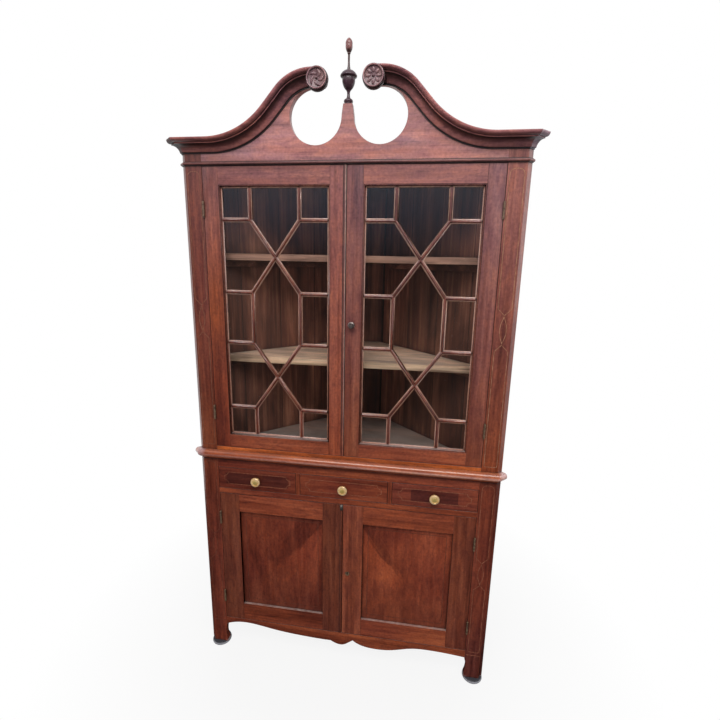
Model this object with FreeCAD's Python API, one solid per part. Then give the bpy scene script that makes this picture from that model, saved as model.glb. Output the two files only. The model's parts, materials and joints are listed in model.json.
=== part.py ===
"""Glazed corner cupboard in two stages, with a swan-neck pediment, three drawers and four doors.

All sizes are in millimetres. While it is modelled, the flat front lies in the plane y = 0 with the room
corner towards +Y, x = 0 is the middle of the front and z = 0 is the floor. Each piece is then shifted along Y,
so that the origin is under the middle of the finished cupboard.
"""
import FreeCAD, Part
import math
import os

Vector = FreeCAD.Vector
root2 = math.sqrt(2)

# Plan of both cases: a flat front, narrow returns at 45 degrees, and walls that run to the room corner
front_width = 1040.0
stile_width = 54.5
frame_thickness = 22.0
return_setback = 15.0
wall_thickness = 12.0
corner_board_width = 150.0
corner_board_thickness = 16.0
boards_per_wall = 4

# Heights of the lower case, from the floor up
foot_height = 12.0
foot_radius = 36.0
foot_setback = 20.0
wall_clearance = 90.0
apron_top = 129.5
lower_opening_height = 547.0
mid_rail_height = 20.0
drawer_opening_height = 84.0
drawer_top_rail_height = 37.5
case_board_thickness = 18.0

# Heights of the upper case
upper_bottom_rail_height = 26.0
upper_opening_height = 943.0
frieze_height = 35.0

# Mouldings that run round the front and the two returns
necking_height = 12.0
necking_projection = 8.0
waist_height = 32.0
waist_projection = 22.0
waist_lip = 12.0
cornice_height = 38.0
cornice_projection = 46.0

# Swan-neck pediment
swan_lower_radius = 282.0
swan_upper_radius = 105.0
swan_slope_angle = 48.0
swan_rise = 173.0
swan_end_x = 100.0
drum_radius = 31.5
drum_x = 80.0
drum_projection = 48.0
drum_thickness = 10.0
rosette_radius = 29.5
rosette_depth = 12.0
tympanum_margin = 4.0
scroll_opening_radius = 79.0
scroll_opening_x = 97.0
scroll_opening_rise = 98.0
plinth_top_width = 26.0
plinth_rise = 130.0

# Turned finial
urn_radius = 24.5
urn_height = 90.0
spire_radius = 10.4
spire_height = 82.0

# Shaped apron and legs
apron_depth = 55.0
leg_scoop_depth = 6.0
leg_scoop_height = 66.0
leg_toe_height = 12.0

# Shelves and their cleats
shelf_thickness = 22.0
shelf_setback = 62.0
first_shelf_height = 333.0
second_shelf_height = 686.5
lower_shelf_height = 270.0
cleat_height = 22.0
cleat_width = 16.0
cleat_setback = 40.0

# Doors
door_gap = 1.5
glazed_stile_width = 51.0
glazed_top_rail_width = 54.0
glazed_bottom_rail_width = 46.0
edge_moulding_width = 9.0
edge_moulding_setback = 1.5
panelled_stile_width = 73.0
panelled_rail_width = 71.0
panel_thickness = 8.0
panel_recess = 10.0
panel_tongue = 7.0
meeting_bead_width = 9.0
meeting_bead_projection = 3.0

# Glazing bars and panes
glass_setback = 12.0
glass_thickness = 2.5
glass_clearance = 0.5
glass_cover = 5.0
bar_width = 14.0
bar_bead_radius = 4.5
bar_shoulder = 3.0
bar_tongue_width = 4.0
bar_tongue_depth = 7.0
bar_x_share = 0.472
outer_bar_z_share = 0.766
inner_bar_z_share = 0.207

# Butt hinges
hinge_height = 50.0
hinge_knuckle_radius = 3.2
hinge_pin_radius = 1.5
hinge_pin_clearance = 0.05
hinge_knuckle_gap = 0.3
hinge_knuckle_proud = 3.6
hinge_leaf_thickness = 1.2
hinge_leaf_depth = 20.0
hinge_leaf_front = 0.2
upper_hinge_inset = 128.5
lower_hinge_inset = 100.0

# Drawers
divider_width = 14.0
divider_x = 165.0
drawer_front_thickness = 20.0
drawer_side_thickness = 10.0
drawer_bottom_thickness = 8.0
drawer_bottom_lift = 4.0
drawer_side_height = 68.0
drawer_slide_clearance = 0.3
drawer_wall_clearance = 13.0
drawer_end_setback = 9.0
centre_drawer_clearance = 46.5
side_drawer_back_width = 41.0
deck_thickness = 12.0
guide_height = 25.0
knob_radius = 17.5
knob_length = 22.0

# Turn catch of the glazed doors
catch_height = 459.0
catch_inset = 22.0
catch_knob_radius = 11.0
catch_knob_length = 20.0
catch_spindle_radius = 4.0
catch_clearance = 0.05
catch_seat = 0.3
catch_tongue_length = 46.0
catch_tongue_width = 14.0
catch_tongue_thickness = 4.0

# Lock of the panelled doors
lock_height = 268.0
lock_case_width = 42.0
lock_case_height = 48.0
lock_case_depth = 12.0
lock_case_wall = 1.5
bolt_width = 30.0
bolt_height = 18.0
bolt_thickness = 6.0
bolt_throw = 8.0
bolt_clearance = 0.3
key_inset = 19.0
keyhole_radius = 2.6
keyhole_slot_width = 2.8
keyhole_slot_height = 9.0
escutcheon_radius = 8.0
escutcheon_thickness = 1.2

# Overrun of every cutting shape past what it cuts
overrun = 5.0

# Profiles as shares of a moulding's projection and height. One point is a straight run, two are an arc.
cornice_shares = (
    ((0.06, 0.0),), ((0.06, 0.09),), ((0.13, 0.09),), ((0.15, 0.14),),
    ((0.30, 0.46), (0.59, 0.62)), ((0.69, 0.62),), ((0.69, 0.70),), ((0.79, 0.70),),
    ((0.93, 0.78), (1.0, 0.93)), ((1.0, 1.0),), ((0.0, 1.0),),
)
waist_shares = (
    ((0.22, 0.0),), ((0.30, 0.14), (0.52, 0.21)), ((0.60, 0.21),), ((0.60, 0.29),), ((0.66, 0.29),),
    ((1.0, 0.65), (0.66, 1.0)), ((0.0, 1.0),),
)
necking_shares = (
    ((0.4, 0.0),), ((0.4, 0.16),), ((1.0, 0.5), (0.4, 0.84)), ((0.4, 1.0),), ((0.0, 1.0),),
)
edge_moulding_shares = (
    ((1.0, 0.0),), ((1.0, 0.28),), ((0.76, 0.32), (0.42, 0.78)), ((0.32, 0.78),), ((0.32, 1.0),), ((0.0, 1.0),),
)

# Turned profiles as shares of a piece's radius and height, from the axis at its foot to the axis at its top
urn_shares = (
    ((0.48, 0.0),), ((0.48, 0.04),), ((0.55, 0.09), (0.46, 0.14)), ((0.30, 0.17),), ((0.22, 0.20),),
    ((0.17, 0.28), (0.20, 0.37)), ((0.28, 0.41),), ((0.63, 0.54), (0.76, 0.76)), ((0.76, 0.785),),
    ((0.97, 0.80),), ((1.0, 0.825), (0.97, 0.85)), ((0.65, 0.95), (0.22, 1.0)), ((0.0, 1.0),),
)
spire_shares = (
    ((0.50, 0.0),), ((0.34, 0.12),), ((0.28, 0.24),), ((0.30, 0.48),), ((0.44, 0.51),), ((0.44, 0.54),),
    ((0.93, 0.68), (0.94, 0.78)), ((0.70, 0.93), (0.12, 1.0)), ((0.0, 1.0),),
)
rosette_shares = (
    ((1.0, 0.0),), ((1.0, 0.55),), ((0.93, 0.80), (0.84, 0.55)), ((0.78, 0.44),), ((0.36, 0.62),),
    ((0.30, 0.84),), ((0.20, 0.96), (0.08, 1.0)), ((0.0, 1.0),),
)
knob_shares = (
    ((0.52, 0.0),), ((0.52, 0.10),), ((0.40, 0.16),), ((0.36, 0.28), (0.44, 0.40)), ((0.90, 0.54),),
    ((1.0, 0.72), (0.90, 0.90)), ((0.64, 0.96),), ((0.60, 0.90),), ((0.36, 0.98), (0.10, 1.0)), ((0.0, 1.0),),
)
catch_knob_shares = (
    ((0.62, 0.0),), ((0.62, 0.12),), ((0.40, 0.30), (0.52, 0.48)), ((0.96, 0.62),),
    ((1.0, 0.84), (0.72, 0.98)), ((0.0, 1.0),),
)
foot_shares = (
    ((0.94, 0.0),), ((1.02, 0.32), (0.97, 0.62)), ((0.93, 0.70),), ((0.96, 0.86), (0.88, 1.0)), ((0.0, 1.0),),
)

# Lower edge of the apron, as shares of half its width and of its depth, from the left leg to the right leg.
# It is sawn by eye: one long sweep on the left, a drop in the middle, a cusp and a wave on the right.
apron_sweep_shares = ((-1.0, 0.60), (-0.85, 0.30), (-0.60, 0.52), (-0.30, 0.74), (-0.09, 0.77))
apron_drop_shares = ((-0.09, 0.77), (-0.045, 0.95), (0.01, 0.99), (0.06, 0.75), (0.095, 0.53))
apron_wave_shares = ((0.095, 0.53), (0.155, 0.81), (0.28, 0.97), (0.41, 0.88), (0.57, 0.52), (0.71, 0.43),
                     (1.0, 0.58))

# Places worked out from the sizes above
half_front = front_width / 2
opening_half = half_front - stile_width
wall_reach = half_front + 2 * return_setback
inner_reach = wall_reach - wall_thickness * root2
case_depth = wall_reach - corner_board_width / 2
corner_front = case_depth - corner_board_thickness
return_thickness = root2 * (frame_thickness - return_setback) + wall_thickness

lower_opening_top = apron_top + lower_opening_height
deck_level = lower_opening_top + mid_rail_height
drawer_opening_top = deck_level + drawer_opening_height
lower_frame_top = drawer_opening_top + drawer_top_rail_height
lower_case_top = lower_frame_top + case_board_thickness
upper_opening_level = lower_case_top + upper_bottom_rail_height
upper_opening_top = upper_opening_level + upper_opening_height
cornice_level = upper_opening_top + frieze_height
upper_case_top = cornice_level + cornice_height

swan_angle = math.radians(swan_slope_angle)
swan_radii = swan_lower_radius + swan_upper_radius
swan_straight = (swan_rise - swan_radii * (1 - math.cos(swan_angle))) / math.sin(swan_angle)
swan_start_x = swan_end_x + swan_radii * math.sin(swan_angle) + swan_straight * math.cos(swan_angle)
swan_top = cornice_level + swan_rise
drum_z = swan_top + cornice_height - drum_radius
scroll_opening_z = cornice_level + scroll_opening_rise
scroll_end_top = swan_top + cornice_height - tympanum_margin
scroll_end_bottom = scroll_opening_z + math.sqrt(scroll_opening_radius ** 2 - (scroll_opening_x - drum_x) ** 2)
scroll_end_radius = (scroll_end_top - scroll_end_bottom) / 2
scroll_end_z = (scroll_end_top + scroll_end_bottom) / 2
plinth_top = cornice_level + plinth_rise
rosette_front = drum_projection + rosette_depth

door_outer = opening_half - door_gap
door_inner = door_gap / 2
glazed_bottom = upper_opening_level + door_gap
glazed_top = upper_opening_top - door_gap
panelled_bottom = apron_top + door_gap
panelled_top = lower_opening_top - door_gap
sight_inner = door_inner + glazed_stile_width + edge_moulding_width
sight_outer = door_outer - glazed_stile_width - edge_moulding_width
sight_bottom = glazed_bottom + glazed_bottom_rail_width + edge_moulding_width
sight_top = glazed_top - glazed_top_rail_width - edge_moulding_width
hinge_x = opening_half - door_gap / 2
hinge_y = -hinge_knuckle_proud
upper_hinge_levels = (glazed_bottom + upper_hinge_inset, glazed_top - upper_hinge_inset)
lower_hinge_levels = (panelled_bottom + lower_hinge_inset, panelled_top - lower_hinge_inset)
drawer_floor = deck_level + drawer_slide_clearance
drawer_front_bottom = deck_level + door_gap
drawer_front_top = drawer_opening_top - door_gap
side_drawer_inner = divider_x + divider_width / 2 + door_gap
centre_drawer_half = divider_x - divider_width / 2 - door_gap
drawer_reach = inner_reach - drawer_wall_clearance * root2
centre_drawer_depth = inner_reach - centre_drawer_half - centre_drawer_clearance
side_drawer_depth = drawer_reach - side_drawer_inner - side_drawer_back_width
knob_level = (drawer_front_bottom + drawer_front_top) / 2
side_drawer_x = (side_drawer_inner + door_outer) / 2
catch_x = door_inner + catch_inset
catch_z = glazed_bottom + catch_height
lock_z = panelled_bottom + lock_height
lock_back = frame_thickness
bolt_y = lock_back - lock_case_depth / 2
key_x = door_inner + key_inset
depth_shift = (rosette_front - case_depth) / 2


# Shapes that many pieces share

def box(left, right, front, back, bottom, top):
    corner = Vector(left, front, bottom)
    return Part.makeBox(right - left, back - front, top - bottom, corner)


def plan_prism(points, bottom, top):
    """Upright prism on a polygon drawn in plan."""
    corners = [Vector(x, y, bottom) for x, y in points]
    return Part.Face(Part.makePolygon(corners + corners[:1])).extrude(Vector(0, 0, top - bottom))


def front_prism(points, front, back):
    """Board sawn to a polygon drawn on the front."""
    corners = [Vector(x, front, z) for x, z in points]
    return Part.Face(Part.makePolygon(corners + corners[:1])).extrude(Vector(0, back - front, 0))


def profile_face(start, steps, place):
    """Closed face through straight runs and three-point arcs, each point put in space by place."""
    edges = []
    here = start
    for step in steps:
        there = step[-1]
        if len(step) == 1:
            edges.append(Part.makeLine(place(here), place(there)))
        else:
            edges.append(Part.Arc(place(here), place(step[0]), place(there)).toShape())
        here = there
    edges.append(Part.makeLine(place(here), place(start)))
    return Part.Face(Part.Wire(edges))


def turned(shares, radius, height, foot, axis, across):
    """Solid of revolution about a line from foot along axis."""
    def place(point):
        return foot + across * (point[0] * radius) + axis * (point[1] * height)
    return profile_face((0, 0), shares, place).revolve(foot, axis, 360)


def mirrored(shape):
    return shape.mirror(Vector(0, 0, 0), Vector(1, 0, 0))


def both_sides(shape):
    return [shape, mirrored(shape)]


def offset_polygon(points, distances):
    """Polygon with each edge moved inwards by its own distance; the points run anticlockwise."""
    count = len(points)
    lines = []
    for i in range(count):
        (ax, ay), (bx, by) = points[i], points[(i + 1) % count]
        length = math.hypot(bx - ax, by - ay)
        normal = (-(by - ay) / length, (bx - ax) / length)
        lines.append((normal, normal[0] * ax + normal[1] * ay + distances[i]))
    corners = []
    for i in range(count):
        (n, c), (m, d) = lines[i - 1], lines[i]
        cross = n[0] * m[1] - n[1] * m[0]
        corners.append(((c * m[1] - d * n[1]) / cross, (n[0] * d - m[0] * c) / cross))
    return corners


def save(name, solids):
    """Write one node, shifted so that the origin is under the middle of the cupboard."""
    shape = Part.makeCompound(solids) if len(solids) > 1 else solids[0].copy()
    shape.translate(Vector(0, depth_shift, 0))
    shape.exportStep("parts/" + name + ".step")


# Plan outlines

wall_along = (-1 / root2, 1 / root2)
wall_inwards = (-1 / root2, -1 / root2)


def along_wall(run, depth):
    """Plan point on the right wall: run from where the boards start, depth in from the outer face."""
    start_x = half_front + return_setback - return_thickness / root2
    start_y = return_setback + return_thickness / root2
    x = start_x + run * wall_along[0] + depth * wall_inwards[0]
    y = start_y + run * wall_along[1] + depth * wall_inwards[1]
    return (x, y)


def stile_plan():
    """Flat front, canted return, and the square end that the backboards butt against."""
    return [(opening_half, 0), (half_front, 0), (half_front + return_setback, return_setback),
            along_wall(0, 0), along_wall(0, wall_thickness), (opening_half, frame_thickness)]


def inside_plan(front):
    """Space between the walls, from a front line back to the corner board."""
    return [(-(inner_reach - front), front), (inner_reach - front, front),
            (inner_reach - corner_front, corner_front), (-(inner_reach - corner_front), corner_front)]


def outside_plan():
    right = [(half_front, 0), (half_front + return_setback, return_setback),
             (wall_reach - case_depth, case_depth)]
    return right + [(-x, y) for x, y in reversed(right)]


# Carcase boards that both cases have

def backboards(bottom, top):
    """Vertical boards side by side on each wall; the last one ends on the corner board."""
    end_outer = (wall_reach - corner_front, corner_front)
    end_inner = (inner_reach - corner_front, corner_front)
    board_width = (corner_front - along_wall(0, 0)[1]) * root2 / boards_per_wall
    solids = []
    for i in range(boards_per_wall):
        near = [along_wall(i * board_width, wall_thickness), along_wall(i * board_width, 0)]
        far = [along_wall((i + 1) * board_width, 0), along_wall((i + 1) * board_width, wall_thickness)]
        if i == boards_per_wall - 1:
            far = [end_outer, end_inner]
        solids += both_sides(plan_prism(near + far, bottom, top))
    return solids


def corner_board(bottom, top):
    front_half = wall_reach - corner_front
    back_half = corner_board_width / 2
    plan = [(-front_half, corner_front), (front_half, corner_front), (back_half, case_depth),
            (-back_half, case_depth)]
    return plan_prism(plan, bottom, top)


def shelf(top):
    return plan_prism(inside_plan(shelf_setback), top - shelf_thickness, top)


def shelf_cleats(top):
    """A batten on each wall, under the shelf."""
    length = (corner_front - along_wall(0, 0)[1]) * root2 - 2 * cleat_setback
    ends = [along_wall(cleat_setback, wall_thickness), along_wall(cleat_setback + length, wall_thickness),
            along_wall(cleat_setback + length, wall_thickness + cleat_width),
            along_wall(cleat_setback, wall_thickness + cleat_width)]
    return both_sides(plan_prism(ends, top - shelf_thickness - cleat_height, top - shelf_thickness))


# Mouldings mitred round the front and the canted returns

def front_region(reach, bottom, top):
    """Space before the front face, between the two mitre planes."""
    spread = reach * math.tan(math.pi / 8)
    plan = [(-half_front, 0), (half_front, 0), (half_front + spread, -reach), (-half_front - spread, -reach)]
    return plan_prism(plan, bottom, top)


def return_region(reach, bottom, top):
    """Space before the right return, from its mitre plane to the plane of the room wall."""
    spread = reach * math.tan(math.pi / 8)
    plan = [(half_front, 0), (half_front + return_setback, return_setback),
            (half_front + return_setback + reach, return_setback - reach), (half_front + spread, -reach)]
    return plan_prism(plan, bottom, top)


def return_moulding(shares, projection, height, level):
    """Moulding on the right return."""
    outwards = Vector(1 / root2, -1 / root2, 0)
    forwards = Vector(1 / root2, 1 / root2, 0)
    reach = 2 * (projection + return_setback)
    start = Vector(half_front, 0, level) - forwards * reach

    def place(point):
        return start + outwards * (point[0] * projection) + Vector(0, 0, point[1] * height)
    run = profile_face((0, 0), shares, place).extrude(forwards * (2 * reach))
    return run.common(return_region(reach, level - overrun, level + height + overrun)).Solids[0]


def front_moulding(shares, projection, height, level):
    """Moulding along the whole front, cut to both mitres."""
    reach = 2 * projection

    def place(point):
        return Vector(-half_front - reach, -point[0] * projection, level + point[1] * height)
    run = profile_face((0, 0), shares, place).extrude(Vector(front_width + 2 * reach, 0, 0))
    return run.common(front_region(reach, level - overrun, level + height + overrun)).Solids[0]


def moulding_round_front(shares, projection, height, level):
    return [front_moulding(shares, projection, height, level)] + both_sides(
        return_moulding(shares, projection, height, level))


# Lower case

def lower_stile():
    """Right stile with its leg, scooped on the inner edge above the toe."""
    stile = plan_prism(stile_plan(), foot_height, lower_frame_top)
    radius = ((leg_scoop_height / 2) ** 2 + leg_scoop_depth ** 2) / (2 * leg_scoop_depth)
    centre_z = foot_height + leg_toe_height + leg_scoop_height / 2
    centre = Vector(opening_half + leg_scoop_depth - radius, -overrun, centre_z)
    scoop = Part.makeCylinder(radius, frame_thickness + 2 * overrun, centre, Vector(0, 1, 0))
    stile = stile.cut(scoop)
    for level in lower_hinge_levels:
        stile = stile.cut(hinge_mortise(level, 1))
    return stile.Solids[0]


def apron():
    """Bottom rail with its hand-sawn lower edge."""
    def place(point):
        return Vector(point[0] * opening_half, 0, apron_top - point[1] * apron_depth)
    edges = []
    for shares in (apron_sweep_shares, apron_drop_shares, apron_wave_shares):
        curve = Part.BSplineCurve()
        curve.interpolate([place(point) for point in shares])
        edges.append(curve.toShape())
    left, right = place(apron_sweep_shares[0]), place(apron_wave_shares[-1])
    top_left, top_right = Vector(-opening_half, 0, apron_top), Vector(opening_half, 0, apron_top)
    edges += [Part.makeLine(right, top_right), Part.makeLine(top_right, top_left), Part.makeLine(top_left, left)]
    return Part.Face(Part.Wire(edges)).extrude(Vector(0, frame_thickness, 0))


def front_rail(bottom, top):
    return box(-opening_half, opening_half, 0, frame_thickness, bottom, top)


def drawer_dividers():
    left, right = divider_x - divider_width / 2, divider_x + divider_width / 2
    return both_sides(box(left, right, 0, frame_thickness, deck_level, drawer_opening_top))


def drawer_deck():
    """Dust board behind the middle rail, with the two guides that keep the drawers straight."""
    board = plan_prism(inside_plan(frame_thickness), deck_level - deck_thickness, deck_level)
    left, right = divider_x - divider_width / 2, divider_x + divider_width / 2
    guide = box(left, right, frame_thickness, centre_drawer_depth, deck_level, deck_level + guide_height)
    return [board] + both_sides(guide)


def foot_cup():
    middle = Vector((opening_half + half_front + return_setback) / 2, foot_setback, 0)
    return turned(foot_shares, foot_radius, foot_height, middle, Vector(0, 0, 1), Vector(1, 0, 0))


# Upper case and pediment

def upper_stile():
    stile = plan_prism(stile_plan(), lower_case_top, upper_case_top)
    for level in upper_hinge_levels:
        stile = stile.cut(hinge_mortise(level, 1))
    return stile.Solids[0]


def swan_neck():
    """Right half of the broken pediment: the cornice rises in two arcs to a disc that carries the rosette."""
    def place(point):
        return Vector(swan_start_x, -point[0] * cornice_projection, cornice_level + point[1] * cornice_height)
    across = Vector(0, 1, 0)
    section = profile_face((0, 0), cornice_shares, place)
    reach = 2 * cornice_projection
    level_run = section.extrude(Vector(half_front + reach - swan_start_x, 0, 0))
    level_run = level_run.common(front_region(reach, cornice_level - overrun, upper_case_top + overrun))
    lower_centre = Vector(swan_start_x, 0, cornice_level + swan_lower_radius)
    lower_arc = section.revolve(lower_centre, across, swan_slope_angle)
    sloped = section.copy()
    sloped.rotate(lower_centre, across, swan_slope_angle)
    slope = Vector(-math.cos(swan_angle), 0, math.sin(swan_angle)) * swan_straight
    slope_run = sloped.extrude(slope)
    sloped.translate(slope)
    upper_centre = Vector(swan_end_x, 0, swan_top - swan_upper_radius)
    upper_arc = sloped.revolve(upper_centre, across, -swan_slope_angle)
    sloped.rotate(upper_centre, across, -swan_slope_angle)
    end_run = sloped.extrude(Vector(drum_x - scroll_end_radius / 2 - swan_end_x, 0, 0))
    boss_base = Vector(drum_x, 0, scroll_end_z)
    boss = Part.makeCylinder(scroll_end_radius, drum_projection - drum_thickness / 2, boss_base, Vector(0, -1, 0))
    drum_base = Vector(drum_x, drum_thickness - drum_projection, drum_z)
    drum = Part.makeCylinder(drum_radius, drum_thickness, drum_base, Vector(0, -1, 0))
    return level_run.fuse([lower_arc, slope_run, upper_arc, end_run, drum, boss]).removeSplitter().Solids[0]


def rosette():
    foot = Vector(drum_x, -drum_projection, drum_z)
    return turned(rosette_shares, rosette_radius, rosette_depth, foot, Vector(0, -1, 0), Vector(1, 0, 0))


def tympanum_half():
    """Board behind the right swan neck, from the middle of the front to the stile."""
    lift = cornice_height - tympanum_margin
    lower_radius, upper_radius = swan_lower_radius - lift, swan_upper_radius + lift

    def on_lower(angle):
        return (swan_start_x - lower_radius * math.sin(angle),
                cornice_level + swan_lower_radius - lower_radius * math.cos(angle))

    def on_upper(angle):
        return (swan_end_x + upper_radius * math.sin(angle),
                swan_top - swan_upper_radius + upper_radius * math.cos(angle))
    steps = (
        ((opening_half, upper_opening_top),), ((opening_half, cornice_level + lift),), (on_lower(0),),
        (on_lower(swan_angle / 2), on_lower(swan_angle)), (on_upper(swan_angle),),
        (on_upper(swan_angle / 2), on_upper(0)), ((drum_x, swan_top + lift),), ((drum_x, plinth_top),),
        ((0, plinth_top),),
    )
    start = (0, upper_opening_top)
    face = profile_face(start, steps, lambda point: Vector(point[0], 0, point[1]))
    return face.extrude(Vector(0, frame_thickness, 0))


def tympanum():
    """Frieze and pediment in one board, pierced by the two round openings beside the finial's plinth."""
    right = tympanum_half()
    back = frame_thickness + overrun
    bowl_centre = Vector(scroll_opening_x, -overrun, scroll_opening_z)
    bowl = Part.makeCylinder(scroll_opening_radius, back + overrun, bowl_centre, Vector(0, 1, 0))
    plinth_foot = scroll_opening_x - scroll_opening_radius
    mouth = front_prism([(plinth_foot, scroll_opening_z), (drum_x, scroll_opening_z),
                         (drum_x, plinth_top + overrun), (plinth_top_width / 2, plinth_top + overrun)],
                        -overrun, back)
    end_centre = Vector(drum_x, 0, scroll_end_z)
    end = Part.makeCylinder(scroll_end_radius, frame_thickness, end_centre, Vector(0, 1, 0))
    right = right.cut(bowl).cut(mouth).fuse(end)
    return right.fuse(mirrored(right)).removeSplitter().Solids[0]


def finial_urn():
    foot = Vector(0, frame_thickness / 2, plinth_top)
    return turned(urn_shares, urn_radius, urn_height, foot, Vector(0, 0, 1), Vector(1, 0, 0))


def finial_spire():
    foot = Vector(0, frame_thickness / 2, plinth_top + urn_height)
    return turned(spire_shares, spire_radius, spire_height, foot, Vector(0, 0, 1), Vector(1, 0, 0))


# Butt hinges; each shape is for the right side, and side turns it to the case or to the door

def hinge_leaf_box(level, side, front):
    """Plate of one leaf, on the case side (1) or the door side (-1) of the pin."""
    near = side * (door_gap / 2 - hinge_leaf_thickness / 2)
    far = side * (door_gap / 2 + hinge_leaf_thickness / 2)
    left, right = hinge_x + min(near, far), hinge_x + max(near, far)
    half = hinge_height / 2
    return box(left, right, front, hinge_leaf_depth, level - half, level + half)


def hinge_mortise(level, side):
    """Shallow recess for a leaf, open at the front."""
    return hinge_leaf_box(level, side, -overrun)


def hinge_knuckle(bottom, top, side, hole_radius):
    """Barrel round the pin, with the strap that joins it to its leaf."""
    base = Vector(hinge_x, hinge_y, bottom)
    barrel = Part.makeCylinder(hinge_knuckle_radius, top - bottom, base)
    near = side * (door_gap / 2 - hinge_leaf_thickness / 2)
    far = side * (door_gap / 2 + hinge_leaf_thickness / 2)
    strap = box(hinge_x + min(near, far), hinge_x + max(near, far), hinge_y, hinge_leaf_front, bottom, top)
    hole = Part.makeCylinder(hole_radius, top - bottom, base)
    return barrel.fuse(strap).cut(hole)


def hinge_levels(level):
    third = hinge_height / 6
    return level - third, level + third


def case_leaf(level):
    low, high = hinge_levels(level)
    plate = hinge_leaf_box(level, 1, hinge_leaf_front)
    bottom = hinge_knuckle(level - hinge_height / 2, low, 1, hinge_pin_radius)
    top = hinge_knuckle(high, level + hinge_height / 2, 1, hinge_pin_radius)
    return plate.fuse([bottom, top]).removeSplitter().Solids[0]


def door_leaf(level):
    low, high = hinge_levels(level)
    plate = hinge_leaf_box(level, -1, hinge_leaf_front)
    hole_radius = hinge_pin_radius + hinge_pin_clearance
    middle = hinge_knuckle(low + hinge_knuckle_gap, high - hinge_knuckle_gap, -1, hole_radius)
    return plate.fuse(middle).removeSplitter().Solids[0]


def hinge_pin(level):
    return Part.makeCylinder(hinge_pin_radius, hinge_height, Vector(hinge_x, hinge_y, level - hinge_height / 2))


# Doors, modelled on the right and mirrored to the left

def meeting_bead(bottom, top):
    """Half-round bead on the meeting edge of a left door."""
    right, left = -door_inner, -door_inner - meeting_bead_width

    def place(point):
        return Vector(point[0], -point[1], bottom)
    middle = ((left + right) / 2, meeting_bead_projection)
    face = profile_face((left, 0), ((middle, (right, 0)),), place)
    return face.extrude(Vector(0, 0, top - bottom))


def glazed_frame():
    """Stiles and rails of the right glazed door, with the hinge mortises cut."""
    outer_stile = box(door_outer - glazed_stile_width, door_outer, 0, frame_thickness, glazed_bottom, glazed_top)
    for level in upper_hinge_levels:
        outer_stile = outer_stile.cut(hinge_mortise(level, -1))
    inner = door_inner + glazed_stile_width
    inner_stile = box(door_inner, inner, 0, frame_thickness, glazed_bottom, glazed_top)
    rail_end = door_outer - glazed_stile_width
    top_rail = box(inner, rail_end, 0, frame_thickness, glazed_top - glazed_top_rail_width, glazed_top)
    bottom_rail = box(inner, rail_end, 0, frame_thickness, glazed_bottom, glazed_bottom + glazed_bottom_rail_width)
    return [outer_stile.Solids[0], inner_stile, top_rail, bottom_rail]


def panelled_frame():
    """Stiles and rails of the right panelled door, grooved for the panel, with the hinge mortises cut."""
    inner, outer = door_inner + panelled_stile_width, door_outer - panelled_stile_width
    low, high = panelled_bottom + panelled_rail_width, panelled_top - panelled_rail_width
    outer_stile = box(outer, door_outer, 0, frame_thickness, panelled_bottom, panelled_top)
    for level in lower_hinge_levels:
        outer_stile = outer_stile.cut(hinge_mortise(level, -1))
    inner_stile = box(door_inner, inner, 0, frame_thickness, panelled_bottom, panelled_top)
    top_rail = box(inner, outer, 0, frame_thickness, high, panelled_top)
    bottom_rail = box(inner, outer, 0, frame_thickness, panelled_bottom, low)
    groove = door_panel()
    return [piece.cut(groove).Solids[0] for piece in (outer_stile, inner_stile, top_rail, bottom_rail)]


def door_panel():
    inner, outer = door_inner + panelled_stile_width, door_outer - panelled_stile_width
    low, high = panelled_bottom + panelled_rail_width, panelled_top - panelled_rail_width
    return box(inner - panel_tongue, outer + panel_tongue, panel_recess, panel_recess + panel_thickness,
               low - panel_tongue, high + panel_tongue)


# Thirteen-pane glazing of a door

sight_middle_x = (sight_inner + sight_outer) / 2
sight_middle_z = (sight_bottom + sight_top) / 2
bar_x = bar_x_share * (sight_outer - sight_inner) / 2
outer_bar_z = outer_bar_z_share * (sight_top - sight_bottom) / 2
inner_bar_z = inner_bar_z_share * (sight_top - sight_bottom) / 2
cross_z = (outer_bar_z + inner_bar_z) / 2


def lattice_nodes():
    """Crossings of the bars by name: columns l and r, rows 1 to 4 from the top, and the two diamond crossings."""
    left, right = sight_middle_x - bar_x, sight_middle_x + bar_x
    rows = (outer_bar_z, inner_bar_z, -inner_bar_z, -outer_bar_z)
    nodes = {}
    for number, row in enumerate(rows, start=1):
        z = sight_middle_z + row
        nodes["l%d" % number] = (left, z)
        nodes["r%d" % number] = (right, z)
        nodes["in%d" % number] = (sight_inner, z)
        nodes["out%d" % number] = (sight_outer, z)
    nodes["upper"] = (sight_middle_x, sight_middle_z + cross_z)
    nodes["lower"] = (sight_middle_x, sight_middle_z - cross_z)
    nodes["lt"], nodes["rt"] = (left, sight_top), (right, sight_top)
    nodes["lb"], nodes["rb"] = (left, sight_bottom), (right, sight_bottom)
    return nodes


lattice_bars = (
    ("lt", "l1"), ("rt", "r1"), ("in1", "l1"), ("r1", "out1"),
    ("l1", "upper"), ("r1", "upper"), ("upper", "l2"), ("upper", "r2"),
    ("in2", "l2"), ("r2", "out2"), ("l2", "l3"), ("r2", "r3"), ("in3", "l3"), ("r3", "out3"),
    ("l3", "lower"), ("r3", "lower"), ("lower", "l4"), ("lower", "r4"),
    ("in4", "l4"), ("r4", "out4"), ("l4", "lb"), ("r4", "rb"),
)


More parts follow.
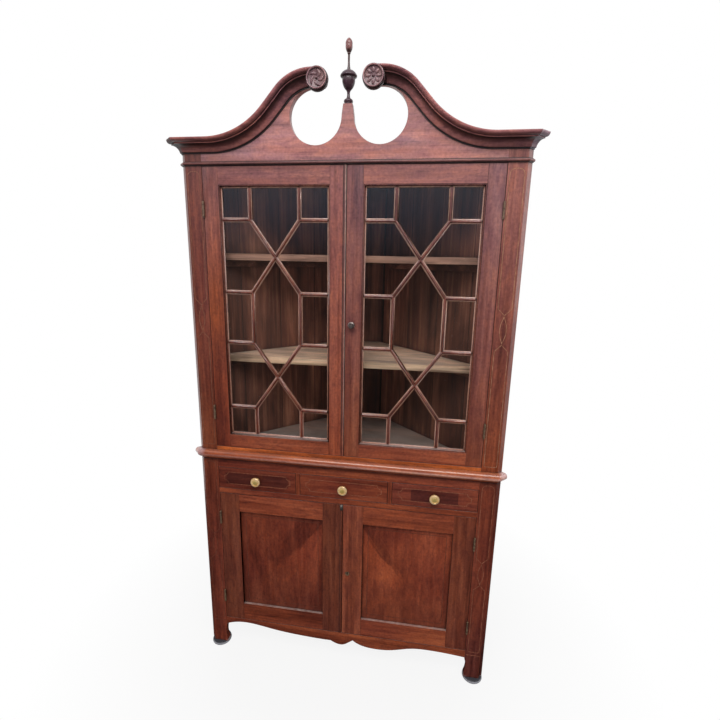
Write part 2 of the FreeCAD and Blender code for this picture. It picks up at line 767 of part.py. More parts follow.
def bar_section(start, direction):
    """Astragal in front of the glass and a thin tongue between the panes."""
    sideways = Vector(-direction.z, 0, direction.x)
    half = bar_width / 2
    tongue = bar_tongue_width / 2
    shoulder = glass_setback - bar_shoulder
    crown = shoulder - bar_bead_radius

    def place(point):
        return Vector(start[0], point[1], start[1]) + sideways * point[0]
    steps = (
        ((-half, shoulder),), ((-bar_bead_radius, shoulder),), ((0, crown), (bar_bead_radius, shoulder)),
        ((half, shoulder),), ((half, glass_setback),), ((tongue, glass_setback),),
        ((tongue, glass_setback + bar_tongue_depth),), ((-tongue, glass_setback + bar_tongue_depth),),
        ((-tongue, glass_setback),),
    )
    return profile_face((-half, glass_setback), steps, place)


def mitre_wedge(node, angle, angles, reach):
    """Space that belongs to one bar at a crossing, between the bisectors with its neighbours on both sides."""
    turns = sorted((other - angle) % (2 * math.pi) for other in angles if other != angle)
    left, right = angle + turns[0] / 2, angle + (turns[-1] - 2 * math.pi) / 2
    corners = [(left, reach), (angle, 2 * reach), (right, reach)]
    points = [node] + [(node[0] + r * math.cos(a), node[1] + r * math.sin(a)) for a, r in corners]
    return front_prism(points, 0, frame_thickness)


def glazing_bars():
    """Every bar of the right door, mitred with its neighbours where they meet."""
    nodes = lattice_nodes()
    leaving = {name: [] for name in nodes}
    for first, second in lattice_bars:
        for here, there in ((first, second), (second, first)):
            rise, run = nodes[there][1] - nodes[here][1], nodes[there][0] - nodes[here][0]
            leaving[here].append(math.atan2(rise, run))
    reach = sight_top - sight_bottom
    solids = []
    for first, second in lattice_bars:
        start, end = nodes[first], nodes[second]
        run = Vector(end[0] - start[0], 0, end[1] - start[1])
        direction = run / run.Length
        lead = direction * bar_width
        before = bar_width if len(leaving[first]) > 1 else 0
        after = bar_width if len(leaving[second]) > 1 else 0
        origin = (start[0] - lead.x * before / bar_width, start[1] - lead.z * before / bar_width)
        bar = bar_section(origin, direction).extrude(direction * (run.Length + before + after))
        for name, turn in ((first, 0), (second, math.pi)):
            if len(leaving[name]) > 1:
                angle = math.atan2(run.z, run.x) + turn
                angle = min(leaving[name], key=lambda a: abs(math.remainder(a - angle, 2 * math.pi)))
                bar = bar.common(mitre_wedge(nodes[name], angle, leaving[name], reach))
        solids.append(bar.Solids[0])
    return solids


def edge_mouldings():
    """Four mitred strips that line the opening of the right glazed door and hold the glass."""
    width = edge_moulding_width
    sight = [(sight_inner, sight_bottom), (sight_outer, sight_bottom), (sight_outer, sight_top),
             (sight_inner, sight_top)]
    rim = offset_polygon(sight, [-width] * len(sight))
    depth = glass_setback - edge_moulding_setback
    solids = []
    for i in range(len(sight)):
        j = (i + 1) % len(sight)
        along = Vector(sight[j][0] - sight[i][0], 0, sight[j][1] - sight[i][1])
        direction = along / along.Length
        inwards = Vector(-direction.z, 0, direction.x)
        origin = Vector(rim[i][0], glass_setback, rim[i][1])

        def place(point):
            return origin + inwards * (point[0] * width) + Vector(0, -point[1] * depth, 0)
        strip = profile_face((0, 0), edge_moulding_shares, place).extrude(along + direction * (2 * width))
        mitre = front_prism([rim[i], rim[j], sight[j], sight[i]], 0, frame_thickness)
        solids.append(strip.common(mitre).Solids[0])
    return solids


lattice_panes = (
    ("in_top", "in1", "l1", "lt"), ("lt", "l1", "upper", "r1", "rt"), ("rt", "r1", "out1", "out_top"),
    ("in1", "in2", "l2", "upper", "l1"), ("r1", "upper", "r2", "out2", "out1"),
    ("in2", "in3", "l3", "l2"), ("upper", "l2", "l3", "lower", "r3", "r2"), ("r2", "r3", "out3", "out2"),
    ("in3", "in4", "l4", "lower", "l3"), ("r3", "lower", "r4", "out4", "out3"),
    ("in4", "in_bottom", "lb", "l4"), ("lower", "l4", "lb", "rb", "r4"), ("r4", "rb", "out_bottom", "out4"),
)


def panes():
    """Thirteen panes of the right door, behind the bars and the edge mouldings."""
    nodes = lattice_nodes()
    nodes["in_top"], nodes["out_top"] = (sight_inner, sight_top), (sight_outer, sight_top)
    nodes["in_bottom"], nodes["out_bottom"] = (sight_inner, sight_bottom), (sight_outer, sight_bottom)
    bars = {frozenset(bar) for bar in lattice_bars}
    at_bar = bar_tongue_width / 2 + glass_clearance
    solids = []
    for names in lattice_panes:
        edges = [frozenset((names[i], names[(i + 1) % len(names)])) for i in range(len(names))]
        distances = [at_bar if edge in bars else -glass_cover for edge in edges]
        corners = offset_polygon([nodes[name] for name in names], distances)
        solids.append(front_prism(corners, glass_setback, glass_setback + glass_thickness))
    return solids


# Catch and lock

def catch_knob():
    """Knob in front of the right glazed door, with its spindle through the stile."""
    foot = Vector(catch_x, -catch_seat, catch_z)
    knob = turned(catch_knob_shares, catch_knob_radius, catch_knob_length, foot, Vector(0, -1, 0), Vector(1, 0, 0))
    length = frame_thickness + 2 * catch_seat + catch_tongue_thickness
    return knob.fuse(Part.makeCylinder(catch_spindle_radius, length, foot, Vector(0, 1, 0))).Solids[0]


def catch_tongue():
    """Tongue on the spindle's end, hanging down when the doors are free."""
    front = frame_thickness + catch_seat
    half = catch_tongue_width / 2
    centre = Vector(catch_x, front, catch_z)
    head = Part.makeCylinder(half, catch_tongue_thickness, centre, Vector(0, 1, 0))
    blade = box(catch_x - half, catch_x + half, front, front + catch_tongue_thickness,
                catch_z - catch_tongue_length, catch_z)
    hole = Part.makeCylinder(catch_spindle_radius, catch_tongue_thickness, centre, Vector(0, 1, 0))
    return head.fuse(blade).cut(hole).removeSplitter().Solids[0]


def catch_hole():
    radius = catch_spindle_radius + catch_clearance
    base = Vector(catch_x, -overrun, catch_z)
    return Part.makeCylinder(radius, frame_thickness + 2 * overrun, base, Vector(0, 1, 0))


def lock_case_space():
    left, half = door_inner, lock_case_height / 2
    return box(left, left + lock_case_width, lock_back - lock_case_depth, lock_back, lock_z - half, lock_z + half)


def lock_case():
    """Case let into the back of the right lower door, with a channel for the bolt."""
    half_y = bolt_thickness / 2 + bolt_clearance
    half_z = bolt_height / 2 + bolt_clearance
    channel = box(door_inner - overrun, door_inner + lock_case_width - lock_case_wall, bolt_y - half_y,
                  bolt_y + half_y, lock_z - half_z, lock_z + half_z)
    return lock_case_space().cut(channel).cut(keyhole()).Solids[0]


def lock_bolt():
    half_y, half_z = bolt_thickness / 2, bolt_height / 2
    left = door_inner + bolt_clearance
    return box(left, left + bolt_width, bolt_y - half_y, bolt_y + half_y, lock_z - half_z, lock_z + half_z)


def bolt_mortise():
    """Slot in the left door's meeting edge that takes the thrown bolt."""
    half_y = bolt_thickness / 2 + 2 * bolt_clearance
    half_z = bolt_height / 2 + 2 * bolt_clearance
    depth = bolt_throw + 2 * bolt_clearance
    return box(-door_inner - depth, -door_inner + overrun, bolt_y - half_y, bolt_y + half_y,
               lock_z - half_z, lock_z + half_z)


def keyhole():
    """Round hole with a slot below, from the front of the door to the bolt's channel."""
    back = bolt_y - bolt_thickness / 2
    base = Vector(key_x, -overrun, lock_z)
    hole = Part.makeCylinder(keyhole_radius, back + overrun, base, Vector(0, 1, 0))
    half = keyhole_slot_width / 2
    return hole.fuse(box(key_x - half, key_x + half, -overrun, back, lock_z - keyhole_slot_height, lock_z))


def lock_escutcheon():
    centre = Vector(key_x, -escutcheon_thickness, lock_z - keyhole_slot_height / 2)
    plate = Part.makeCylinder(escutcheon_radius, escutcheon_thickness, centre, Vector(0, 1, 0))
    return plate.cut(keyhole()).Solids[0]


# Drawers

def drawer_front(left, right):
    return box(left, right, 0, drawer_front_thickness, drawer_front_bottom, drawer_front_top)


def drawer_box(plan):
    """Sides and back round a bottom board; the first edge of the plan lies on the drawer front."""
    inner = offset_polygon(plan, [0] + [drawer_side_thickness] * (len(plan) - 1))
    solids = []
    for i in range(1, len(plan)):
        j = (i + 1) % len(plan)
        side = plan_prism([plan[i], plan[j], inner[j], inner[i]], drawer_floor, drawer_floor + drawer_side_height)
        solids.append(side)
    bottom = drawer_floor + drawer_bottom_lift
    solids.append(plan_prism(inner, bottom, bottom + drawer_bottom_thickness))
    return solids


def centre_drawer_plan():
    half, front, back = centre_drawer_half, drawer_front_thickness, centre_drawer_depth
    return [(-half, front), (half, front), (half, back), (-half, back)]


def side_drawer_plan():
    """Right drawer: its outer side runs parallel to the wall."""
    outer = door_outer - drawer_end_setback
    front, back = drawer_front_thickness, side_drawer_depth
    return [(side_drawer_inner, front), (outer, front), (outer, drawer_reach - outer), (drawer_reach - back, back),
            (side_drawer_inner, back)]


def drawer_knob(x):
    foot = Vector(x, 0, knob_level)
    return turned(knob_shares, knob_radius, knob_length, foot, Vector(0, -1, 0), Vector(1, 0, 0))


# Every node by name

def carcase_nodes():
    return {
        "lower_stiles": both_sides(lower_stile()),
        "apron": [apron()],
        "mid_rail": [front_rail(lower_opening_top, deck_level)],
        "drawer_top_rail": [front_rail(drawer_opening_top, lower_frame_top)],
        "drawer_dividers": drawer_dividers(),
        "drawer_deck": drawer_deck(),
        "lower_bottom_board": [plan_prism(inside_plan(frame_thickness), apron_top - case_board_thickness, apron_top)],
        "lower_shelf": [shelf(apron_top + lower_shelf_height)],
        "lower_backboards": backboards(wall_clearance, lower_frame_top),
        "lower_corner_board": [corner_board(0, lower_frame_top)],
        "lower_top_board": [plan_prism(outside_plan(), lower_frame_top, lower_case_top)],
        "waist_moulding": moulding_round_front(waist_shares, waist_projection, waist_height,
                                               lower_case_top + waist_lip - waist_height),
        "foot_cups": both_sides(foot_cup()),
        "upper_stiles": both_sides(upper_stile()),
        "upper_bottom_rail": [front_rail(lower_case_top, upper_opening_level)],
        "upper_bottom_board": [plan_prism(inside_plan(frame_thickness), lower_case_top,
                                          lower_case_top + case_board_thickness)],
        "upper_top_board": [plan_prism(inside_plan(frame_thickness), upper_opening_top,
                                       upper_opening_top + case_board_thickness)],
        "upper_shelves": [shelf(lower_case_top + case_board_thickness + first_shelf_height),
                          shelf(lower_case_top + case_board_thickness + second_shelf_height)],
        "shelf_cleats": shelf_cleats(apron_top + lower_shelf_height)
        + shelf_cleats(lower_case_top + case_board_thickness + first_shelf_height)
        + shelf_cleats(lower_case_top + case_board_thickness + second_shelf_height),
        "upper_backboards": backboards(lower_case_top, upper_case_top),
        "upper_corner_board": [corner_board(lower_case_top, upper_case_top)],
        "tympanum": [tympanum()],
        "right_swan_neck": [swan_neck()],
        "left_swan_neck": [mirrored(swan_neck())],
        "cornice_returns": both_sides(return_moulding(cornice_shares, cornice_projection, cornice_height,
                                                      cornice_level)),
        "necking_bead": moulding_round_front(necking_shares, necking_projection, necking_height, upper_opening_top),
        "rosettes": both_sides(rosette()),
        "finial_urn": [finial_urn()],
        "finial_spire": [finial_spire()],
        "hinge_case_leaves": [leaf for level in upper_hinge_levels + lower_hinge_levels
                              for leaf in both_sides(case_leaf(level))],
        "hinge_pins": [pin for level in upper_hinge_levels + lower_hinge_levels
                       for pin in both_sides(hinge_pin(level))],
    }


def glazed_door_nodes():
    right_frame = glazed_frame()
    bead = meeting_bead(glazed_bottom, glazed_top)
    left_frame = [mirrored(piece) for piece in right_frame] + [bead]
    right_frame[1] = right_frame[1].cut(catch_hole()).Solids[0]
    lattice = edge_mouldings() + glazing_bars()
    glass = panes()
    leaves = [door_leaf(level) for level in upper_hinge_levels]
    return {
        "upper_right_door_frame": right_frame,
        "upper_right_glazing_bars": lattice,
        "upper_right_panes": glass,
        "upper_right_door_hinges": leaves,
        "upper_left_door_frame": left_frame,
        "upper_left_glazing_bars": [mirrored(piece) for piece in lattice],
        "upper_left_panes": [mirrored(piece) for piece in glass],
        "upper_left_door_hinges": [mirrored(piece) for piece in leaves],
        "catch_knob": [catch_knob()],
        "catch_tongue": [catch_tongue()],
    }


def panelled_door_nodes():
    right_frame = panelled_frame()
    left_frame = [mirrored(piece) for piece in right_frame]
    left_frame[1] = left_frame[1].cut(bolt_mortise()).Solids[0]
    left_frame.append(meeting_bead(panelled_bottom, panelled_top))
    right_frame[1] = right_frame[1].cut(lock_case_space()).cut(keyhole()).Solids[0]
    leaves = [door_leaf(level) for level in lower_hinge_levels]
    return {
        "lower_right_door_frame": right_frame,
        "lower_right_panel": [door_panel()],
        "lower_right_door_hinges": leaves,
        "lower_left_door_frame": left_frame,
        "lower_left_panel": [mirrored(door_panel())],
        "lower_left_door_hinges": [mirrored(piece) for piece in leaves],
        "lock_case": [lock_case()],
        "lock_bolt": [lock_bolt()],
        "lock_escutcheon": [lock_escutcheon()],
    }


def drawer_nodes():
    front = drawer_front(side_drawer_inner, door_outer)
    sides = drawer_box(side_drawer_plan())
    return {
        "right_drawer_front": [front],
        "right_drawer_box": sides,
        "right_drawer_knob": [drawer_knob(side_drawer_x)],
        "left_drawer_front": [mirrored(front)],
        "left_drawer_box": [mirrored(piece) for piece in sides],
        "left_drawer_knob": [drawer_knob(-side_drawer_x)],
        "centre_drawer_front": [drawer_front(-centre_drawer_half, centre_drawer_half)],
        "centre_drawer_box": drawer_box(centre_drawer_plan()),
        "centre_drawer_knob": [drawer_knob(0)],
    }


os.makedirs("parts", exist_ok=True)
for nodes in (carcase_nodes(), glazed_door_nodes(), panelled_door_nodes(), drawer_nodes()):
    for node_name, node_solids in nodes.items():
        save(node_name, node_solids)
        volumes = [solid.Volume for solid in node_solids]
        sound = all(solid.isValid() and solid.ShapeType == "Solid" for solid in node_solids)
        print(node_name, len(volumes), round(sum(volumes)), "sound" if sound and min(volumes) > 0 else "CHECK")
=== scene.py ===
# %% [markdown]
# # A glazed corner cupboard
#
# The cupboard stands in a room corner: a flat mahogany front with four doors and three drawers, two board
# walls at 45 degrees behind it, and a swan-neck pediment on top. Its solids were made in CAD, and they
# already have the right sizes and the right joints. This lesson dresses them: it gives every surface a
# finish, eases every arris, and adds what a cabinetmaker adds last, the inlay, the carving, the nails and
# the polish.
#
# The imported model is loaded first, as a fixed frame. All places are read from it, so nothing has to be
# fitted by eye.

# %% Load the imported cupboard
import json
import math
from collections import namedtuple

import bmesh
import bpy
from mathutils import Matrix, Vector

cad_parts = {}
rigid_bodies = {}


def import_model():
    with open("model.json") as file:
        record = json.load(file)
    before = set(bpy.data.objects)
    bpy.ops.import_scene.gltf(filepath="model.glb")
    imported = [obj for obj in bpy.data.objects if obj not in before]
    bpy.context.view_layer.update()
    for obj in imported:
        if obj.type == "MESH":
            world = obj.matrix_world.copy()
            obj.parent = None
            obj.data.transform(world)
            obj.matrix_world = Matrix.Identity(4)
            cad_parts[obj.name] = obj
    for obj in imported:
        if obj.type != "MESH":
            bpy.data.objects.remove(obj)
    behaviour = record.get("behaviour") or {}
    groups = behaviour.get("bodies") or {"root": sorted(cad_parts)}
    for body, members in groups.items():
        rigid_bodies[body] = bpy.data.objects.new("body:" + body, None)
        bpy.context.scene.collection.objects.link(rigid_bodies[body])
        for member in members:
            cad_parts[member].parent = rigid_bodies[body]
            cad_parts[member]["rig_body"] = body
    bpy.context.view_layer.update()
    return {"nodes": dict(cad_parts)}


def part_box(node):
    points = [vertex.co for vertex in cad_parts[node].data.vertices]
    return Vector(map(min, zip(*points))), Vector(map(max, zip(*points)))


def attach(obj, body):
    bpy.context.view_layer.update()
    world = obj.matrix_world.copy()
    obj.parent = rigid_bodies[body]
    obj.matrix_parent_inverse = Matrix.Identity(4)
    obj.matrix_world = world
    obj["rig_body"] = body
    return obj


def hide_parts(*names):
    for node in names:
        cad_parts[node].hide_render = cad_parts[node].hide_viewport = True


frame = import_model()
scene = bpy.context.scene
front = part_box("lower_stiles")[0].y

# %% [markdown]
# ## Camera
#
# The photograph was taken from a little right of the middle and from eye level, with a wide lens
# and a slight tilt. A camera could be moved by eye until the edges agree. Here it was worked out from the
# straight lines of the front, so its place, three angles and focal length are plain numbers. The three
# directions of the camera become the columns of its matrix.

# %% Place the camera
camera_place = Vector((0.2521, front - 1.3706, 1.5207))
camera_yaw = math.radians(-8.336)
camera_pitch = math.radians(-12.753)
camera_roll = math.radians(1.155)
forward = Vector((math.sin(camera_yaw), math.cos(camera_yaw), 0)) * math.cos(camera_pitch)
forward.z = math.sin(camera_pitch)
level_right = Vector((math.cos(camera_yaw), -math.sin(camera_yaw), 0))
level_up = level_right.cross(forward)
right = level_right * math.cos(camera_roll) + level_up * math.sin(camera_roll)
up = level_up * math.cos(camera_roll) - level_right * math.sin(camera_roll)
lens = bpy.data.cameras.new("camera")
lens.sensor_width = 36.0
lens.lens = 21.66
camera = bpy.data.objects.new("camera", lens)
camera_turn = Matrix((right, up, -forward)).transposed().to_4x4()
camera.matrix_world = Matrix.Translation(camera_place) @ camera_turn
scene.collection.objects.link(camera)
scene.camera = camera
scene.view_settings.view_transform = "Standard"
print("camera", [round(number, 3) for number in camera_place], "lens", lens.lens)

# %% [markdown]
# ## Small tools for shader nodes
#
# Every finish below is a tree of shader nodes. In the editor one drags sockets together. In a script the
# same few steps come back over and over, so they get short helpers: feed a socket with a number or with
# another node, do sums, stretch a range, mix two colours, and turn a value into a colour with a ramp.
# Colours are written as three numbers, and the fourth, the opacity, is added where a colour socket is
# fed.

# %% Feeding sockets
def feed(tree, socket, value):
    """Links a socket to another node's output, or sets it to a plain value."""
    if isinstance(value, bpy.types.NodeSocket):
        tree.links.new(value, socket)
    elif socket.type == "RGBA":
        socket.default_value = (*value, 1)
    else:
        socket.default_value = value


def add_node(tree, kind, inputs=None, **settings):
    """One shader node, with its own settings and with its input sockets fed by name."""
    made = tree.nodes.new("ShaderNode" + kind)
    for name, value in settings.items():
        setattr(made, name, value)
    for name, value in (inputs or {}).items():
        feed(tree, made.inputs[name], value)
    return made


print("sockets can be fed")

# %% Sums, ranges and mixes
def calc(tree, operation, *values, clamp=False):
    made = add_node(tree, "Math", operation=operation, use_clamp=clamp)
    for socket, value in zip(made.inputs, values):
        feed(tree, socket, value)
    return made.outputs[0]


def product(tree, first, *others):
    """Several values multiplied together."""
    for value in others:
        first = calc(tree, "MULTIPLY", first, value)
    return first


def spread(tree, value, low, high, to_low=0.0, to_high=1.0):
    """Stretches the range from low to high over a new range, and clips what lies outside."""
    ends = {"Value": value, "From Min": low, "From Max": high, "To Min": to_low, "To Max": to_high}
    return add_node(tree, "MapRange", ends).outputs[0]


def mix_colour(tree, share, under, over, mode="MIX"):
    made = add_node(tree, "Mix", data_type="RGBA", blend_type=mode)
    for number, value in ((0, share), (6, under), (7, over)):
        feed(tree, made.inputs[number], value)
    return made.outputs[2]


def tinted(tree, colour, tint, share=1.0):
    """A colour multiplied by a tint."""
    return mix_colour(tree, share, colour, tint, "MULTIPLY")


print("sums and mixes ready")

# %% Colour ramps
def ramp(tree, value, stops):
    """A colour ramp with its stops in rising order."""
    made = add_node(tree, "ValToRGB", {"Fac": value})
    elements = made.color_ramp.elements
    for element, (place, colour) in zip(elements, (stops[0], stops[-1])):
        element.position = place
        element.color = (*colour, 1)
    for place, colour in stops[1:-1]:
        elements.new(place).color = (*colour, 1)
    return made.outputs[0]


def greys(*stops):
    """Ramp stops in grey, from pairs of a place and a brightness."""
    return [(place, (value,) * 3) for place, value in stops]


print("ramps ready")

# %% Where a point lies
def object_place(tree):
    return add_node(tree, "TexCoord").outputs["Object"]


def coordinate(tree, axis):
    return add_node(tree, "SeparateXYZ", {0: object_place(tree)}).outputs[axis]


def along(tree, axis, low, high, to_low=0.0, to_high=1.0):
    """A share that changes evenly between two places on an axis."""
    return spread(tree, coordinate(tree, axis), low, high, to_low, to_high)


def off_middle(tree, axis, middle=0.0):
    """How far a point is from a middle, to either side of it."""
    return calc(tree, "ABSOLUTE", calc(tree, "SUBTRACT", coordinate(tree, axis), middle))


def length(tree, vector):
    return add_node(tree, "VectorMath", {0: vector}, operation="LENGTH").outputs["Value"]


def facing_up(tree):
    """1 where a face looks straight up, and -1 where it looks straight down."""
    normal = add_node(tree, "NewGeometry").outputs["Normal"]
    return add_node(tree, "SeparateXYZ", {0: normal}).outputs["Z"]


def noise(tree, place, scale, detail):
    return add_node(tree, "TexNoise", {"Vector": place, "Scale": scale, "Detail": detail}).outputs[0]


print("places can be read")

# %% New finishes and objects
def new_finish(name):
    """A new material, its tree and its shader."""
    material = bpy.data.materials.new(name)
    material.use_nodes = True
    return material, material.node_tree, material.node_tree.nodes["Principled BSDF"]


def settle(shader, values):
    """Sets plain numbers on a shader's own sockets."""
    for name, value in values.items():
        shader.inputs[name].default_value = value


def add_bump(tree, shader, height, strength, distance):
    bump = add_node(tree, "Bump", {"Height": height, "Strength": strength, "Distance": distance})
    feed(tree, shader.inputs["Normal"], bump.outputs[0])


def show(tree, shader):
    """Makes another shader the one that the material shows."""
    feed(tree, tree.nodes["Material Output"].inputs["Surface"], shader.outputs[0])


def link_object(name, shape, *finishes):
    """Turns a bmesh into an object at the origin."""
    mesh = bpy.data.meshes.new(name)
    shape.to_mesh(mesh)
    shape.free()
    made = bpy.data.objects.new(name, mesh)
    for finish in finishes:
        mesh.materials.append(finish)
    scene.collection.objects.link(made)
    return made


print("finish helpers ready")

# %% [markdown]
# ## Floor and background
#
# The photograph shows the cupboard cut out on white. A white studio could be lit until it burns out, but
# that would bleach the wood too. Instead the world is plain white only for rays that come from the
# camera, from gloss and through glass, and a modest grey for all the light that falls on the cupboard.
# The floor is pale and keeps the shadow near the feet. It runs out to white a little further away, so no
# horizon shows.

# %% White background
def seen_directly(tree):
    """1 for rays from the camera, from gloss and through glass, and 0 for light that a surface scatters."""
    path = add_node(tree, "LightPath")
    seen = calc(tree, "ADD", path.outputs["Is Camera Ray"], path.outputs["Is Glossy Ray"])
    return calc(tree, "ADD", seen, path.outputs["Is Transmission Ray"], clamp=True)


world = bpy.data.worlds.new("studio")
scene.world = world
world.use_nodes = True
sky = world.node_tree
sky.nodes.clear()
soft_light = add_node(sky, "Background", {"Color": (0.95, 0.97, 1.0), "Strength": 0.45})
white = add_node(sky, "Background", {"Color": (1, 1, 1), "Strength": 1.0})
sky_mix = add_node(sky, "MixShader", {0: seen_directly(sky), 1: soft_light.outputs[0], 2: white.outputs[0]})
add_node(sky, "OutputWorld", {"Surface": sky_mix.outputs[0]})
print("world", world.name)

# %% Pale floor
floor_half = 7.0
floor_finish, floor_tree, floor_shader = new_finish("pale_floor")
feed(floor_tree, floor_shader.inputs["Base Color"], (0.50, 0.49, 0.48))
settle(floor_shader, {"Roughness": 0.9})
floor_white = spread(floor_tree, length(floor_tree, object_place(floor_tree)), 0.5, 1.2, 0.88, 1.0)
floor_share = product(floor_tree, floor_white, seen_directly(floor_tree))
floor_glow = add_node(floor_tree, "Emission", {"Color": (1, 1, 1), "Strength": 1.0})
floor_parts = {0: floor_share, 1: floor_shader.outputs[0], 2: floor_glow.outputs[0]}
show(floor_tree, add_node(floor_tree, "MixShader", floor_parts))
floor_shape = bmesh.new()
bmesh.ops.create_grid(floor_shape, x_segments=2, y_segments=2, size=floor_half)
floor = link_object("floor", floor_shape, floor_finish)
print("floor", 2 * floor_half, "m wide")

# %% [markdown]
# ## Lamps and a dark flag
#
# The light of the photograph is an overcast sky: soft, from above and in front, so that the top of the
# cupboard is brighter than its feet and every rounded nose carries a pale line. One large lamp above the
# camera does that, a weaker one from the left keeps the shadows open, and a cool one at the right lights
# the narrow canted side. Polished wood and glass also mirror what stands in front of them. A studio keeps
# them from turning milky with a card, called a flag: dark along the floor and low down, and graded to a
# pale sky at its top. Ours glows by itself and is seen by reflections only, so it neither blocks the view
# nor changes the light on the wood.

# %% Lamps
def soft_lamp(name, place, target, width, height, power, tint):
    data = bpy.data.lights.new(name, "AREA")
    data.shape = "RECTANGLE"
    data.size = width
    data.size_y = height
    data.energy = power
    data.color = tint
    lamp = bpy.data.objects.new(name, data)
    aim = (Vector(target) - Vector(place)).to_track_quat("-Z", "Y")
    lamp.matrix_world = Matrix.Translation(place) @ aim.to_matrix().to_4x4()
    scene.collection.objects.link(lamp)


soft_lamp("sky_lamp", (0.4, -2.2, 3.7), (0.0, -0.1, 1.1), 3.2, 1.5, 100.0, (1.0, 0.98, 0.97))
soft_lamp("side_lamp", (-3.2, -1.8, 2.2), (0.0, -0.1, 1.0), 1.6, 2.2, 20.0, (1.0, 0.97, 0.94))
soft_lamp("rim_lamp", (3.0, 0.5, 2.1), (0.5, 0.0, 1.5), 1.2, 2.0, 13.0, (0.94, 0.95, 1.0))

# %% Flag
flag_half = 2.6
flag_top = 3.0
card_side = 2.9
card_foot = 0.05
flag_tones = ((0.0, (0.020, 0.014, 0.012)), (0.50, (0.060, 0.052, 0.054)), (0.68, (0.28, 0.30, 0.40)),
              (1.0, (0.80, 0.84, 0.92)))


def drawn_out(shape, line, step):
    """Joins points into a line, and draws the line out into a sheet."""
    spots = [shape.verts.new(place) for place in line]
    edges = [shape.edges.new(pair) for pair in zip(spots, spots[1:])]
    run = bmesh.ops.extrude_edge_only(shape, edges=edges)["geom"]
    far = [item for item in run if isinstance(item, bmesh.types.BMVert)]
    bmesh.ops.translate(shape, verts=far, vec=step)


flag_finish, flag_tree = new_finish("graded_flag")[:2]
flag_colour = ramp(flag_tree, along(flag_tree, "Z", 0.0, flag_top), flag_tones)
show(flag_tree, add_node(flag_tree, "Emission", {"Color": flag_colour}))
flag_shape = bmesh.new()
flag_bends = ((0.45, 0.012), (-3.1, card_foot), (-3.5, flag_top))
drawn_out(flag_shape, [(-flag_half, y, z) for y, z in flag_bends], (2 * flag_half, 0, 0))
for side in (-card_side, card_side):
    drawn_out(flag_shape, [(side, y, card_foot) for y in (-3.1, -1.1)], (0, 0, flag_top - card_foot))
flag = link_object("flag", flag_shape, flag_finish)
flag.visible_camera = False
flag.visible_diffuse = False
flag.visible_shadow = False
print("flag", len(flag.data.polygons), "sheets")

# %% [markdown]
# ## Grain
#
# Wood looks like wood because every mark on it is drawn out along the grain. Noise gives that look when
# its space is squeezed along one direction: many waves in a metre across the board, few along it. The
# coordinates are turned first, so that the grain of a rail lies flat and that of a stile stands, and each
# board gets a shift of its own, so that no figure runs on from one board into the next.

# %% Grain helpers
flat_grain = math.radians(90)
upright_grain = 0.0


def grain_place(tree, turn, seed):
    """Object coordinates turned about Y, so that the grain runs along Z, and slid by a board's own seed."""
    shift = (seed * 1.73, seed * 0.91, seed * 2.37)
    turned = {"Vector": object_place(tree), "Rotation": (0, turn, 0), "Location": shift}
    return add_node(tree, "Mapping", turned).outputs[0]


def fibres(tree, place, across, along_grain, detail=3.0, wander=0.0):
    """Noise drawn out along the grain, with so many waves in a metre across it and along it."""
    stretched = add_node(tree, "Mapping", {"Vector": place, "Scale": (across, across, along_grain)})
    settings = {"Vector": stretched.outputs[0], "Scale": 1.0, "Detail": detail, "Roughness": 0.58,
                "Distortion": wander}
    return add_node(tree, "TexNoise", settings).outputs[0]


print("grain turns", flat_grain, upright_grain)

# %% [markdown]
# ## Rails between stiles
#
# A framed door is one node in the CAD, but its stiles stand and its rails lie flat. The finish tells them
# apart by how far a point is from the middle of the door: nearer than the inner edge of the stiles, and
# the grain is turned. A hair-thin dark line marks the joint, as it does on any old frame.

# %% Grain that turns at the joints
joint_half = 0.0005


def framed_grain(tree, upright, seed, middle, reach):
    """Upright grain beyond reach from the middle of a frame and flat grain within it, then the joint line,
    and then 1 for the rails."""
    sideways = off_middle(tree, "X", middle)
    is_rail = calc(tree, "LESS_THAN", sideways, reach)
    choice = add_node(tree, "Mix", data_type="VECTOR")
    for number, value in ((0, is_rail), (4, upright), (5, grain_place(tree, flat_grain, seed + 0.37))):
        feed(tree, choice.inputs[number], value)
    return choice.outputs[1], calc(tree, "COMPARE", sideways, reach, joint_half), is_rail


print("joint lines", 2000 * joint_half, "mm")

# %% [markdown]
# ## Mahogany
#
# The show wood is old mahogany under a hand-rubbed polish. Six things make it: broad dark and light
# figure, finer streaks, short black flecks, places that the sun has bleached to gold, a rosy bloom where
# the polish has turned milky, which also paints the pale sheen of the sky on the upper pieces, and dirt
# that the polishing cloth never reached. Figure and streaks are mixed and sent through two ramps, one red
# and one golden. How golden and how rosy a piece is may change from its foot to its head, so both shares
# are read from the height. Ambient occlusion finds the corners, which go dark with dirt and with painted
# shade, and dust settles on faces that look up. Painted shade also makes the wood browner low down, and
# painted light makes it paler at the right. The polish is a thin coat over a rougher ground, so
# highlights stay soft.

# %% Mahogany colours
mahogany_red = ((0.34, (0.050, 0.009, 0.006)), (0.50, (0.150, 0.033, 0.019)), (0.66, (0.270, 0.075, 0.040)))
mahogany_gold = ((0.34, (0.120, 0.026, 0.009)), (0.50, (0.300, 0.086, 0.032)), (0.66, (0.450, 0.160, 0.062)))
# The bloom colour also paints the pale sheen of the sky on the upper pieces.
bloom_and_sheen_colour = (0.62, 0.33, 0.35)
# Dark colour for flecks, joints, dirt, and painted shade in corners.
dirt_and_shade_colour = (0.022, 0.009, 0.006)
dust_colour = (0.54, 0.46, 0.42)
mottle_tints = ((0.30, (0.84, 0.81, 0.82)), (0.50, (1.0, 1.0, 1.0)), (0.70, (1.16, 1.14, 1.14)))
patina_tints = ((0.34, (0.80, 0.76, 0.84)), (0.50, (1.0, 1.0, 1.0)), (0.66, (1.18, 1.14, 1.02)))
